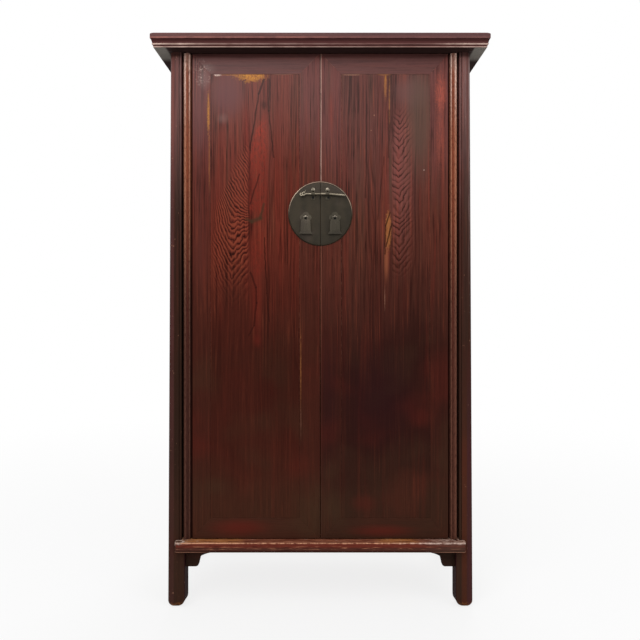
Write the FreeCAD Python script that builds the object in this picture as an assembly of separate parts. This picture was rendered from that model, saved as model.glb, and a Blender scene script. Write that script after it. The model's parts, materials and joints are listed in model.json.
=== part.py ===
import FreeCAD, Part
import math
import os

from FreeCAD import Vector

# Tapered two-door armoire in millimetres: +Z up, front towards -Y,
# origin on the floor below the centre of the top.

# Overall
height = 1830.0
top_width = 1070.0
top_depth = 600.0
top_thickness = 44.0
top_overhang = 51.0
top_rail_width = 100.0

# Legs: the outer face leans, the inner faces stand upright
leg_lean = 9.0
leg_width = 57.5
leg_depth = 58.0
leg_round = 21.0
foot_round = 18.0
rabbet_width = 11.0
rabbet_depth = 30.0
edge_bead = 7.0

# Bottom frame
sill_bottom = 188.0
sill_top = 218.0
sill_reach = 28.0
sill_lap = 29.5
sill_back = 44.0
bottom_rail_width = 40.0
stop_height = 8.0
stop_gap = 1.5

# Doors
door_gap = 2.5
seam_gap = 2.4
door_recess = 7.0
door_thickness = 24.0
hinge_stile_width = 58.0
meeting_stile_width = 66.0
door_rail_height = 66.0
post_width = 21.0
post_recess = 3.0
post_clearance = 6.0
quirk_width = 7.4
quirk_depth = 8.0
pin_radius = 7.0
pin_play = 0.08
pin_length = 13.0

# Boards
tongue = 8.0
panel_gap = 0.6
door_panel_thickness = 11.0
side_panel_thickness = 12.0
side_panel_inset = 14.0
back_panel_thickness = 10.0
back_panel_inset = 30.0
top_panel_thickness = 18.0
floor_thickness = 12.0
floor_top = 206.0
batten_height = 34.0
batten_depth = 14.0

# Shelves and back rail
lower_shelf_top = 730.0
upper_shelf_top = 1240.0
shelf_thickness = 20.0
shelf_setback = 6.0
bearer_height = 30.0
bearer_width = 20.0
back_rail_thickness = 32.0
back_rail_inset = 8.0
middle_rail_bottom = 980.0
middle_rail_height = 45.0

# Aprons
apron_thickness = 14.0
apron_setback = 16.0
apron_drop = 15.0
bracket_drop = 61.0
bracket_width = 42.5
bracket_lean = 5.5
bracket_round = 11.0
cove_width = 48.0
cove_height = 12.5

# Metalwork
plate_radius = 104.0
plate_height = 1268.0
plate_thickness = 2.5
lock_height = 1330.5
lock_offset = 23.0
lock_standoff = 8.0
lock_pin_radius = 2.25
lock_bore_radius = 2.6
pin_end_gap = 0.6
keeper_radius = 3.4
keeper_end = 78.0
pull_height = 1256.0
pull_offset = 47.0
pull_standoff = 6.0
pull_thickness = 3.0
pull_drop = 54.0
boss_thickness = 1.6

# Places worked out from the sizes above
left = -1.0
right = 1.0
top_bottom = height - top_thickness
leg_front = -(top_depth / 2 - top_overhang)
leg_rear = leg_front + leg_depth
leg_outer_top = top_width / 2 - top_overhang
leg_outer_floor = leg_outer_top + leg_lean
leg_inner = leg_outer_floor - leg_width
between_legs = (leg_rear, -leg_rear)
rabbet_wall = leg_inner + rabbet_width
post_radius = post_width / 2
pivot_x = rabbet_wall - post_clearance - post_radius
post_front = leg_front + post_recess
pivot_y = post_front + post_radius
door_front = leg_front + door_recess
door_back = door_front + door_thickness
door_bottom = sill_top + door_gap
door_top = top_bottom - door_gap
door_side = pivot_x - post_radius - quirk_width
door_meet = seam_gap / 2
stop_front = door_back + stop_gap
stop_end = leg_inner - tongue
sill_rear = leg_front + sill_back
side_panel_out = leg_outer_top - side_panel_inset
side_panel_in = side_panel_out - side_panel_thickness
back_panel_front = -leg_front - back_panel_inset
back_rail_front = -leg_front - back_rail_inset - back_rail_thickness
plate_front = door_front - plate_thickness
lock_y = plate_front - lock_standoff
boss_front = plate_front - boss_thickness
pull_y = boss_front - pull_standoff
up = Vector(0, 0, 1)
rightward = Vector(1, 0, 0)
backward = Vector(0, 1, 0)


def box(x, y, z):
    """A block from three spans, each a pair in either order."""
    low = Vector(min(x), min(y), min(z))
    return Part.makeBox(max(x) - min(x), max(y) - min(y), max(z) - min(z), low)


def cylinder(radius, start, direction, length):
    return Part.makeCylinder(radius, length, start, direction)


def sided(side, near, far):
    return side * near, side * far


def around(middle, half):
    return middle - half, middle + half


def inside(span, margin):
    return min(span) + margin, max(span) - margin


def outline(place, start, *steps):
    """A closed face; each step is an end point, or a middle and an end point for an arc."""
    edges = []
    here = place(*start)
    for step in [*steps, start]:
        if isinstance(step[0], tuple):
            middle, end = (place(*point) for point in step)
            edges.append(Part.Arc(here, middle, end).toShape())
        else:
            end = place(*step)
            if end.isEqual(here, 1e-6):
                continue
            edges.append(Part.makeLine(here, end))
        here = end
    return Part.Face(Part.Wire(edges))


def on_circle(centre, radius, degrees):
    angle = math.radians(degrees)
    return centre[0] + radius * math.cos(angle), centre[1] + radius * math.sin(angle)


def in_plan(z):
    return lambda x, y: Vector(x, y, z)


def in_front(y):
    return lambda x, z: Vector(x, y, z)


def in_side(x):
    return lambda y, z: Vector(x, y, z)


def mirrored(shape):
    return shape.mirror(Vector(0, 0, 0), rightward)


def front_to_back(shape):
    return shape.mirror(Vector(0, 0, 0), backward)


def turned(shape, degrees):
    copy = shape.copy()
    copy.rotate(Vector(0, 0, 0), up, degrees)
    return copy


def joined(first, *others):
    return first.fuse(list(others)).removeSplitter()


def less(shape, *cutters):
    return shape.cut(list(cutters))


def tenoned(x, y, z, along, length, shoulder):
    """A bar with a tenon at both ends; along is 0 for a bar that runs in X and 1 for one in Y."""
    spans = [x, y, z]
    tenon = [inside(span, -length if axis == along else shoulder) for axis, span in enumerate(spans)]
    return joined(box(*spans), box(*tenon))


# Top frame

top_edge_round = 3.0
band_height = 17.5
band_step = 2.0
slope_height = 13.5
slope_run = 4.0
bead_radius = 2.7
bead_inset = 1.5
groove_height = 3.9
moulding_depth = 10.0
low_bead = 1.8
lip_thickness = 10.0
panel_groove = (height - top_panel_thickness, height - lip_thickness)
panel_groove_depth = 10.0


def top_rail(length, reach):
    """A moulded rail along X whose outer edge faces -Y at the given reach, mitred at both ends."""
    edge = -reach
    inner = edge + top_rail_width
    rounding = (edge + top_edge_round, height - top_edge_round)
    band_low = height - band_height
    slope_low = band_low - slope_height
    slope_end = edge + band_step + slope_run
    bead_in = slope_end + bead_inset
    bead_low = slope_low - 2 * bead_radius
    groove_low = bead_low - groove_height
    groove_in = edge + moulding_depth
    profile = outline(
        in_side(-length / 2),
        (inner, height),
        (rounding[0], height),
        (on_circle(rounding, top_edge_round, 135), (edge, rounding[1])),
        (edge, band_low),
        (edge + band_step, band_low),
        (slope_end, slope_low),
        (bead_in, slope_low),
        ((bead_in - bead_radius, slope_low - bead_radius), (bead_in, bead_low)),
        (groove_in, bead_low),
        (groove_in, groove_low),
        ((groove_in - low_bead, (groove_low + top_bottom) / 2), (groove_in, top_bottom)),
        (inner, top_bottom),
        (inner, panel_groove[0]),
        (inner - panel_groove_depth, panel_groove[0]),
        (inner - panel_groove_depth, panel_groove[1]),
        (inner, panel_groove[1]),
    )
    half = length / 2
    mitred = outline(
        in_plan(top_bottom),
        (-half, edge),
        (half, edge),
        (half - top_rail_width, inner),
        (top_rail_width - half, inner),
    )
    return profile.extrude(rightward * length).common(mitred.extrude(up * top_thickness))


mitre_tenon_reach = (24.0, 62.0)
mitre_tenon_inset = (26.0, 38.0)
mitre_tenon_rise = (8.0, 18.0)


def mitre_tenon(side_x, side_y):
    """The tongue of a long top rail inside the mitre of a short one."""
    return box(
        [side_x * (top_width / 2 - reach) for reach in mitre_tenon_reach],
        [side_y * (top_depth / 2 - inset) for inset in mitre_tenon_inset],
        [top_bottom + rise for rise in mitre_tenon_rise],
    )


leg_tenon_height = 22.0
leg_tenon_width = 13.0
leg_tenon_depth = 16.0
leg_tenon_margin = 6.0


def leg_tenons(side_x, side_y):
    """One tenon into the long top rail and one into the short one, on either side of the mitre."""
    long_x = leg_inner + 2 * leg_tenon_margin
    long_y = -leg_front - leg_tenon_margin
    short_x = leg_outer_top - leg_tenon_margin
    short_y = -leg_rear + leg_tenon_margin
    rise = (top_bottom, top_bottom + leg_tenon_height)
    into_long = box(sided(side_x, long_x, long_x + leg_tenon_width),
                    sided(side_y, long_y - leg_tenon_depth, long_y), rise)
    into_short = box(sided(side_x, short_x - leg_tenon_width, short_x),
                     sided(side_y, short_y, short_y + leg_tenon_depth), rise)
    return into_long, into_short


socket_spare = 1.0


def pivot_socket(side, mouth, direction):
    """The round hole in the sill or the top that holds a pin of the door."""
    start = Vector(side * pivot_x, pivot_y, mouth)
    return cylinder(pin_radius + pin_play, start, direction, pin_length + socket_spare)


def top_panel():
    opening_x = top_width / 2 - top_rail_width
    opening_y = top_depth / 2 - top_rail_width
    board = box(around(0, opening_x - panel_gap), around(0, opening_y - panel_gap),
                (height - top_panel_thickness, height))
    edge = box(around(0, opening_x + tongue), around(0, opening_y + tongue), panel_groove)
    return joined(board, edge)


top_batten_place = 150.0
top_batten_width = 40.0
top_batten_clear = 4.0
batten_tenon = 10.0
batten_shoulder = 4.0


def top_batten(side):
    return tenoned(
        around(side * top_batten_place, top_batten_width / 2),
        around(0, top_depth / 2 - top_rail_width),
        (top_bottom + top_batten_clear, height - top_panel_thickness),
        1, batten_tenon, batten_shoulder,
    )


# Legs, built as the left front one

def leg_section(outer, z):
    """Plan of the leg: outside corner rounded, the others square."""
    rounding = (leg_round - outer, leg_front + leg_round)
    return outline(
        in_plan(z),
        (-leg_inner, leg_front),
        (-leg_inner, leg_rear),
        (-outer, leg_rear),
        (-outer, rounding[1]),
        (on_circle(rounding, leg_round, 225), (rounding[0], leg_front)),
    )


def plain_leg():
    floor = leg_section(leg_outer_floor, 0.0).OuterWire
    under_top = leg_section(leg_outer_top, top_bottom).OuterWire
    leg = Part.makeLoft([floor, under_top], True, True)
    foot = [edge for edge in leg.Edges if edge.BoundBox.ZMax < foot_round]
    return leg.makeFillet(foot_round, foot)


bead_quirk = 1.2
cut_spare = 1.0


def post_room():
    """The rabbet for the door's post, and what is taken off to leave a bead along its edge."""
    bead = edge_bead / 2
    front = leg_front - cut_spare
    rabbet = box((-rabbet_wall, cut_spare - leg_inner), (front, leg_front + rabbet_depth),
                 (sill_bottom, top_bottom))
    strip = box((-rabbet_wall - edge_bead - bead_quirk, -rabbet_wall), (front, leg_front + bead),
                (sill_top, top_bottom))
    bead_foot = Vector(-rabbet_wall - bead, leg_front + bead, sill_top)
    return rabbet, strip.cut(cylinder(bead, bead_foot, up, top_bottom - sill_top))


# Bottom frame

sill_edge_round = 3.0
sill_corner_round = 11.0
sill_bead = 2.6
sill_quirk = 1.4
sill_bulge = 1.2
sill_tenon = 24.0
sill_tenon_depth = (10.0, 22.0)
rail_tenon = 20.0
rail_shoulder = 8.0


def sill_bar(half):
    """The sill from end to end: rounded upper edge and ends, bulging face, a bead along the lower edge."""
    front = leg_front - sill_reach
    bead_top = sill_bottom + 2 * sill_bead
    face_low = bead_top + sill_quirk
    face_high = sill_top - sill_edge_round
    face = front + sill_bulge
    rounding = (face + sill_edge_round, face_high)
    profile = outline(
        in_side(-half),
        (sill_rear, sill_bottom),
        (front + sill_bead, sill_bottom),
        ((front, sill_bottom + sill_bead), (front + sill_bead, bead_top)),
        (front + sill_bead, face_low),
        (face, face_low),
        ((front, (face_low + face_high) / 2), (face, face_high)),
        (on_circle(rounding, sill_edge_round, 135), (rounding[0], sill_top)),
        (sill_rear, sill_top),
    )
    corner = (half - sill_corner_round, front + sill_corner_round)
    plan = outline(
        in_plan(sill_bottom),
        (-half, sill_rear),
        (half, sill_rear),
        (half, corner[1]),
        (on_circle(corner, sill_corner_round, -45), (corner[0], front)),
        (-corner[0], front),
        (on_circle((-corner[0], corner[1]), sill_corner_round, 225), (-half, corner[1])),
    )
    return profile.extrude(rightward * 2 * half).common(plan.extrude(up * (sill_top - sill_bottom)))


def front_sill():
    """The sill laps over the front of the legs, fills the foot of their rabbets and stops the doors."""
    end = leg_outer_floor - sill_lap
    whole = (0, height)
    rear = sill_rear + cut_spare
    sill = sill_bar(end)
    for side in (left, right):
        beside_rabbet = box(sided(side, rabbet_wall, end + cut_spare), (leg_front, rear), whole)
        behind_rabbet = box(sided(side, leg_inner, end), (leg_front + rabbet_depth, rear), whole)
        tenon = box(sided(side, leg_inner, rabbet_wall + sill_tenon),
                    [leg_front + depth for depth in sill_tenon_depth],
                    inside((sill_bottom, sill_top), rail_shoulder))
        sill = joined(less(sill, beside_rabbet, behind_rabbet), tenon)
        sill = less(sill, pivot_socket(side, sill_top, -up))
    stop = box(around(0, stop_end), (stop_front, sill_rear),
               (sill_bottom + stop_height, sill_top + stop_height))
    return joined(sill, stop)


side_rail_out = leg_outer_top - post_recess


def side_bottom_rail():
    return tenoned((-side_rail_out, bottom_rail_width - side_rail_out), between_legs, (sill_bottom, sill_top),
                   1, rail_tenon, rail_shoulder)


def back_cross_rail(low, high):
    return tenoned(around(0, leg_inner), (back_rail_front, back_rail_front + back_rail_thickness), (low, high),
                   0, rail_tenon, rail_shoulder)


# Aprons

apron_tongue = 6.0
apron_tongue_setback = 4.0
bracket_low = sill_bottom - bracket_drop


def half_apron(half):
    """Lower edge of the right half of an apron, from its middle out to the leg."""
    middle = sill_bottom - apron_drop
    bracket_x = half - bracket_width
    waist = (bracket_x - bracket_lean, middle - cove_height)
    cove_radius = (cove_width ** 2 + cove_height ** 2) / (2 * cove_height)
    cove_centre = (waist[0] - cove_width, middle - cove_radius)
    cove_angle = math.degrees(math.asin(cove_width / cove_radius))
    rounding = (bracket_x + bracket_round, bracket_low + bracket_round)
    return [
        (cove_centre[0], middle),
        (on_circle(cove_centre, cove_radius, 90 - cove_angle / 2), waist),
        (bracket_x, rounding[1]),
        (on_circle(rounding, bracket_round, 225), (rounding[0], bracket_low)),
        (half, bracket_low),
        (half, sill_bottom),
    ]


def apron_board(half, place, through):
    """A shaped board between two legs: one half drawn along X and mirrored, or laid along Y by place."""
    edge = half_apron(half)
    right_half = outline(place, (0, sill_bottom), (0, edge[0][1]), *edge).extrude(through)
    other = Vector(through.y, through.x, 0)
    return joined(right_half, right_half.mirror(Vector(0, 0, 0), other))


def front_apron():
    y = leg_front + apron_setback
    groove = inside((y, y + apron_thickness), apron_tongue_setback)
    board = apron_board(leg_inner, in_front(y), backward * apron_thickness)
    above = box(around(0, leg_inner - bracket_width), groove, (sill_bottom, sill_bottom + apron_tongue))
    beside = box(around(0, leg_inner + apron_tongue), groove, (bracket_low + bracket_round, sill_bottom))
    ends = less(beside, box(around(0, leg_inner), groove, (0, height)))
    return joined(board, above, ends)


def side_apron():
    x = sill_edge_round + rail_shoulder - side_rail_out
    groove = inside((x, x + apron_thickness), apron_tongue_setback)
    board = apron_board(-leg_rear, in_side(x), rightward * apron_thickness)
    above = box(groove, around(0, -leg_rear - bracket_width), (sill_bottom, sill_bottom + apron_tongue))
    beside = box(groove, around(0, apron_tongue - leg_rear), (bracket_low + bracket_round, sill_bottom))
    ends = less(beside, box(groove, between_legs, (0, height)))
    return joined(board, above, ends)


# Boards of the case

side_batten_heights = (470.0, 985.0, 1510.0)
floor_batten_place = 215.0
floor_batten_width = 40.0
floor_batten_drop = 6.0
shelf_spare = 1.0


def side_panel():
    return box((-side_panel_out, -side_panel_in), inside(between_legs, -tongue),
               inside((sill_top, top_bottom), -tongue))


def side_battens():
    return Part.makeCompound([
        tenoned((-side_panel_in, batten_depth - side_panel_in), between_legs, around(z, batten_height / 2),
                1, batten_tenon, batten_shoulder)
        for z in side_batten_heights
    ])


def back_panel(low, high):
    return box(around(0, leg_inner + tongue), (back_panel_front, back_panel_front + back_panel_thickness),
               inside((low, high), -tongue))


def floor_panel():
    room_x = side_rail_out - bottom_rail_width
    room_y = (sill_rear, back_rail_front)
    low = floor_top - floor_thickness
    board = box(around(0, room_x), room_y, (low, floor_top))
    edge = box(around(0, room_x + tongue), inside(room_y, -tongue), (low, low + floor_thickness / 2))
    return joined(board, edge)


def floor_battens():
    return Part.makeCompound([
        box(around(side * floor_batten_place, floor_batten_width / 2), (sill_rear, back_rail_front),
            (sill_bottom - floor_batten_drop, floor_top - floor_thickness))
        for side in (left, right)
    ])


def shelf_board(top):
    depth = (leg_rear + shelf_setback, back_panel_front - shelf_spare)
    return box(around(0, side_panel_in - shelf_spare), depth, (top - shelf_thickness, top))


def shelf_bearers(top):
    high = top - shelf_thickness
    return Part.makeCompound([
        tenoned(sided(side, side_panel_in - bearer_width, side_panel_in), between_legs,
                (high - bearer_height, high), 1, batten_tenon, batten_shoulder)
        for side in (left, right)
    ])


# Doors, built as the left one

stile_inner = hinge_stile_width - door_side
meet_inner = -door_meet - meeting_stile_width
rail_low = door_bottom + door_rail_height
rail_high = door_top - door_rail_height
door_panel_back = door_front + door_panel_thickness
door_lip = 5.0
door_tenon_depth = (13.0, 20.0)
door_tenon_length = 34.0
door_batten_heights = (480.0, 790.0, 1100.0, 1560.0)
batten_relief = 1.0
wide_bead = 12.2
narrow_bead = 5.5
narrow_bead_recess = 0.8
neck_relief = 4.0


def door_board(*corners):
    return outline(in_front(door_front), *corners).extrude(backward * door_thickness)


def pivot_post():
    """Post with a wide and a narrow bead in front, a round back and a turned pin at each end."""
    outer = -pivot_x - post_radius
    inner = -pivot_x + post_radius
    wide = wide_bead / 2
    narrow = narrow_bead / 2
    wide_y = post_front + wide
    narrow_y = post_front + narrow_bead_recess + narrow
    section = outline(
        in_plan(door_bottom),
        (outer, pivot_y),
        (outer, wide_y),
        ((outer + wide, post_front), (outer + wide_bead, wide_y)),
        (inner - narrow_bead, wide_y),
        (inner - narrow_bead, narrow_y),
        ((inner - narrow, narrow_y - narrow), (inner, narrow_y)),
        (inner, pivot_y),
        ((-pivot_x, pivot_y + post_radius), (outer, pivot_y)),
    )
    post = section.extrude(up * (door_top - door_bottom))
    neck = box((pin_radius - pivot_x, -door_side), (door_front + quirk_depth, door_back - neck_relief),
               (door_bottom, door_top))
    pins = cylinder(pin_radius, Vector(-pivot_x, pivot_y, door_bottom - pin_length), up,
                    door_top - door_bottom + 2 * pin_length)
    return joined(post, neck, pins)


def hinge_stile():
    flat = door_board((-door_side, door_bottom), (stile_inner, rail_low), (stile_inner, rail_high),
                      (-door_side, door_top))
    return joined(flat, pivot_post())


def meeting_stile():
    return door_board((-door_meet, door_bottom), (-door_meet, door_top), (meet_inner, rail_high),
                      (meet_inner, rail_low))


def door_rail(outer, inner):
    """A rail with its mitred face, and its tenon through both mitres."""
    rail = door_board((-door_side, outer), (-door_meet, outer), (meet_inner, inner), (stile_inner, inner))
    third = (outer - inner) / 3
    tenon = box((stile_inner - door_tenon_length, meet_inner + door_tenon_length),
                [door_front + y for y in door_tenon_depth], (inner + third / 2, inner + 2 * third))
    return joined(rail, tenon)


def door_panel():
    width = (stile_inner, meet_inner)
    rise = (rail_low, rail_high)
    board = box(inside(width, panel_gap), (door_front, door_panel_back), inside(rise, panel_gap))
    edge = box(inside(width, -tongue), (door_front + door_lip, door_panel_back), inside(rise, -tongue))
    return joined(board, edge)


def door_battens():
    return Part.makeCompound([
        tenoned((stile_inner, meet_inner), (door_panel_back, door_back - batten_relief),
                around(z, batten_height / 2), 0, batten_tenon, batten_shoulder)
        for z in door_batten_heights
    ])


# Metalwork, built for the left door

rim_bevel = 1.2
shank_half = 2.5
clinch = 14.0
clinch_thickness = 1.2
leaf_half = 6.0
leaf_above = 16.0
leaf_below = 18.0
leaf_thickness = 1.8
knuckle_radius = 6.5
web_half = 4.0
stud_radius = 3.4
stud_drop = 5.0


def face_plate():
    disc = cylinder(plate_radius, Vector(0, plate_front, plate_height), backward, plate_thickness)
    front_rim = [edge for edge in disc.Edges if edge.BoundBox.YMax < door_front - rim_bevel]
    disc = disc.makeChamfer(rim_bevel, front_rim)
    half = box((-plate_radius, -door_meet), (plate_front, door_front), around(plate_height, plate_radius))
    return disc.common(half)


def shank(x, z, start):
    """Split legs of a staple: through the plate and the stile, bent over behind."""
    rear = door_back + clinch_thickness
    legs = box(around(x, shank_half), (start, rear), around(z, shank_half))
    bent = box(around(x, shank_half), (door_back, rear), around(z, clinch))
    return joined(legs, bent)


def lock_staple():
    """A leaf with a domed stud, and a knuckle in front that the lock pin runs through."""
    width = around(-lock_offset, leaf_half)
    leaf_front = plate_front - leaf_thickness
    leaf = box(width, (leaf_front, plate_front), (lock_height - leaf_below, lock_height + leaf_above))
    knuckle = cylinder(knuckle_radius, Vector(width[0], lock_y, lock_height), rightward, 2 * leaf_half)
    web = box(width, (lock_y, leaf_front), around(lock_height, web_half))
    dome = Part.makeSphere(stud_radius, Vector(-lock_offset, leaf_front, lock_height + leaf_above - stud_drop))
    stud = dome.common(box(width, (leaf_front - stud_radius, plate_front), (0, height)))
    body = joined(leaf, knuckle, web, stud, shank(-lock_offset, lock_height, leaf_front))
    bore = cylinder(lock_bore_radius, Vector(width[0], lock_y, lock_height), rightward, 2 * leaf_half)
    return less(body, bore)


def lock_keeper():
    """The right staple carries a closed barrel that takes the tip of the pin."""
    mouth = Vector(door_meet + pin_end_gap, lock_y, lock_height)
    barrel = cylinder(keeper_radius, mouth, rightward, keeper_end - mouth.x)
    nose = Part.makeSphere(keeper_radius, Vector(keeper_end, lock_y, lock_height))
    bore = cylinder(lock_bore_radius, mouth, rightward, lock_offset + leaf_half)
    return less(joined(mirrored(lock_staple()), barrel, nose), bore)


scroll_ring = 4.6
scroll_place = 61.0
scroll_step = 7.6
scroll_drop = 1.4
horn_radius = 1.5
horn_start = 2.0
horn = Vector(6.0, 0, 7.5)


def lock_pin():
    """Round pin whose left end is curled into a double scroll with a short horn to slide it by."""
    first = Vector(-scroll_place, lock_y, lock_height - scroll_drop)
    second = Vector(scroll_step - scroll_place, lock_y, lock_height)
    start = second + rightward * scroll_ring
    rod = cylinder(lock_pin_radius, start, rightward, -door_meet - pin_end_gap - start.x)
    curls = [Part.makeTorus(scroll_ring, lock_pin_radius, centre, backward) for centre in (first, second)]
    root = second + Vector(horn_start, 0, scroll_ring)
    spike = cylinder(horn_radius, root, horn, horn.Length)
    knob = Part.makeSphere(horn_radius, root + horn)
    return joined(rod, *curls, spike, knob)


# Each lobe of the cloud-shaped boss: sideways, up, radius
boss_lobes = ((0.0, 7.0, 10.5), (-10.0, -1.0, 9.0), (10.0, -1.0, 9.0))
eye_outer = 5.0
eye_inner = 3.0
eye_width = 5.0


def pull_staple():
    """Cloud-shaped boss with the eye that carries the pull."""
    boss = joined(*[
        cylinder(radius, Vector(across - pull_offset, boss_front, pull_height + rise), backward,
                 boss_thickness)
        for across, rise, radius in boss_lobes
    ])
    width = around(-pull_offset, eye_width / 2)
    centre = Vector(width[0], pull_y, pull_height)
    neck = box(width, (pull_y, boss_front), around(pull_height, eye_inner))
    eye = joined(cylinder(eye_outer, centre, rightward, eye_width), neck)
    eye = less(eye, cylinder(eye_inner, centre, rightward, eye_width))
    return joined(boss, eye, shank(-pull_offset, pull_height, boss_front))


bar_half = 1.8
head_half = 9.0
head_round = 2.0
neck_drop = 5.0
shoulder_half = 15.5
shoulder_drop = 15.0
body_half = 16.2
flare_height = 12.0
base_half = 22.0
base_height = 4.0
base_lip = 0.8
slot_spare = 0.7
slot_depth = 6.5


def pull():
    """Bell-shaped tag, hung on the eye of its staple by the bar across its slot."""
    head = (head_half - head_round, bar_half - head_round)
    shoulder = (shoulder_half - head_round, -(neck_drop + shoulder_drop) / 2)
    flare = (body_half + head_round, base_height + head_round - pull_drop)
    side = [
        (head[0], bar_half),
        (on_circle(head, head_round, 45), (head_half, head[1])),
        (head_half, -neck_drop),
        (shoulder, (shoulder_half, -shoulder_drop)),
        (body_half, flare_height - pull_drop),
        (flare, (base_half, base_height - pull_drop)),
        (base_half, -pull_drop),
    ]
    thick = around(pull_y, pull_thickness / 2)

    def place(x, z):
        return Vector(x - pull_offset, thick[0], z + pull_height)

    half = outline(place, (0, bar_half), *side, (0, -pull_drop)).extrude(backward * pull_thickness)
    other = half.mirror(Vector(-pull_offset, 0, 0), rightward)
    low = pull_height - pull_drop
    base = box(around(-pull_offset, base_half), (thick[0] - base_lip, thick[1]), (low, low + base_height))
    slot = box(around(-pull_offset, eye_width / 2 + slot_spare), inside(thick, -base_lip),
               (pull_height - slot_depth, pull_height - bar_half))
    return less(joined(half, other, base), slot)


# Put together

parts = {}

panel_left = side_panel()
battens_left = side_battens()
rail_left = side_bottom_rail()
apron_left = side_apron()
sill = front_sill()
apron_front = front_apron()
floor = floor_panel()
rail_back = back_cross_rail(sill_bottom, sill_top)
rail_middle = back_cross_rail(middle_rail_bottom, middle_rail_bottom + middle_rail_height)
panel_low = back_panel(sill_top, middle_rail_bottom)
panel_high = back_panel(middle_rail_bottom + middle_rail_height, top_bottom)
bearers_low = shelf_bearers(lower_shelf_top)
bearers_high = shelf_bearers(upper_shelf_top)
battens_top = [top_batten(left), top_batten(right)]

in_every_leg = [panel_left, battens_left, rail_left, apron_left, bearers_low, bearers_high]
in_front_leg = [*post_room(), sill, apron_front]
in_back_leg = [rail_back, rail_middle, panel_low, panel_high]
blank = plain_leg()
front_leg = less(joined(blank, *leg_tenons(left, left)), *in_every_leg, *in_front_leg)
back_leg = less(joined(front_to_back(blank), *leg_tenons(left, right)), *in_every_leg, *in_back_leg)
parts["left_front_leg"] = front_leg
parts["right_front_leg"] = mirrored(front_leg)
parts["left_back_leg"] = back_leg
parts["right_back_leg"] = mirrored(back_leg)

long_rail = top_rail(top_width, top_depth / 2)
for name, side, degrees in (("front", left, 0), ("back", right, 180)):
    rail = joined(turned(long_rail, degrees), mitre_tenon(left, side), mitre_tenon(right, side))
    parts[f"top_{name}_rail"] = less(rail, *leg_tenons(left, side), *leg_tenons(right, side), *battens_top)
stop = box(around(0, stop_end), (stop_front, top_rail_width - top_depth / 2),
           (top_bottom - stop_height, top_bottom))
sockets = [pivot_socket(side, top_bottom, up) for side in (left, right)]
parts["top_front_rail"] = less(joined(parts["top_front_rail"], stop), *sockets)
parts["top_back_rail"] = less(parts["top_back_rail"], panel_high)

short_rail = turned(top_rail(top_depth, top_width / 2), -90)
for side in (left, right):
    short_rail = less(short_rail, *leg_tenons(left, side), mitre_tenon(left, side))
parts["top_left_rail"] = less(short_rail, panel_left)
parts["top_right_rail"] = mirrored(parts["top_left_rail"])
parts["top_panel"] = top_panel()
parts["top_left_batten"], parts["top_right_batten"] = battens_top

parts["front_sill"] = less(sill, apron_front, floor)
parts["back_bottom_rail"] = less(rail_back, panel_low, floor)
parts["left_bottom_rail"] = less(rail_left, panel_left, apron_left, floor)
parts["right_bottom_rail"] = mirrored(parts["left_bottom_rail"])
parts["front_apron"] = apron_front
parts["left_apron"] = apron_left
parts["right_apron"] = mirrored(apron_left)
parts["left_side_panel"] = panel_left
parts["right_side_panel"] = mirrored(panel_left)
parts["left_side_battens"] = battens_left
parts["right_side_battens"] = mirrored(battens_left)
parts["back_middle_rail"] = less(rail_middle, panel_low, panel_high)
parts["lower_back_panel"] = panel_low
parts["upper_back_panel"] = panel_high

legs = [shape for name, shape in parts.items() if name.endswith("leg")]
parts["floor_panel"] = less(floor, *legs)
parts["floor_battens"] = floor_battens()
parts["lower_shelf"] = less(shelf_board(lower_shelf_top), *legs)
parts["upper_shelf"] = less(shelf_board(upper_shelf_top), *legs)
parts["lower_shelf_bearers"] = bearers_low
parts["upper_shelf_bearers"] = bearers_high

panel = door_panel()
battens = door_battens()
rail_above = door_rail(door_top, rail_high)
rail_below = door_rail(door_bottom, rail_low)
staple_lock = lock_staple()
staple_pull = pull_staple()
left_side = {
    "door_hinge_stile": less(hinge_stile(), panel, battens, rail_above, rail_below),
    "door_meeting_stile": less(meeting_stile(), panel, battens, rail_above, rail_below,
                               staple_lock, staple_pull),
    "door_top_rail": less(rail_above, panel),
    "door_bottom_rail": less(rail_below, panel),
    "door_panel": panel,
    "door_battens": battens,
    "door_face_plate": less(face_plate(), staple_lock, staple_pull),
    "pull_staple": staple_pull,
    "pull": pull(),
}
for name, shape in left_side.items():
    parts[f"left_{name}"] = shape
    parts[f"right_{name}"] = mirrored(shape)
parts["left_lock_staple"] = staple_lock
parts["right_lock_keeper"] = lock_keeper()
parts["lock_pin"] = lock_pin()

os.makedirs("parts", exist_ok=True)
for name, shape in parts.items():
    shape.exportStep(f"parts/{name}.step")
print(len(parts), "parts written")
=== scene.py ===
import json
import math

import bmesh
import bpy
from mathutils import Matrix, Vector


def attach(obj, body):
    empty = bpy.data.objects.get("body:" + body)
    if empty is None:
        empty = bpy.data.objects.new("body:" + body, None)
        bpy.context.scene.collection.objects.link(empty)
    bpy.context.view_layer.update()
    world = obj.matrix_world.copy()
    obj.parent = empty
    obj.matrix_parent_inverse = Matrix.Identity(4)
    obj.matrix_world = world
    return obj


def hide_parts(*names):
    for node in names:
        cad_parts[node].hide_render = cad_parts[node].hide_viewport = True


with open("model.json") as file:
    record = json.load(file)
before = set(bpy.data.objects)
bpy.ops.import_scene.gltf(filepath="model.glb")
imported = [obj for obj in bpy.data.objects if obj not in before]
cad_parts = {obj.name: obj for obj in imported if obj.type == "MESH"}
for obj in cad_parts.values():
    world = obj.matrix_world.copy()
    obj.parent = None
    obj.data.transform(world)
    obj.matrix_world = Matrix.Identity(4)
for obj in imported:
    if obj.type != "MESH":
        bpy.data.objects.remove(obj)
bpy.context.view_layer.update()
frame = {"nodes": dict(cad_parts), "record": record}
nodes = frame["nodes"]
bodyOf = {name: body for body, names in frame["record"]["behaviour"]["bodies"].items() for name in names}
scene = bpy.context.scene
print("frame:", len(nodes), "nodes")

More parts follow.
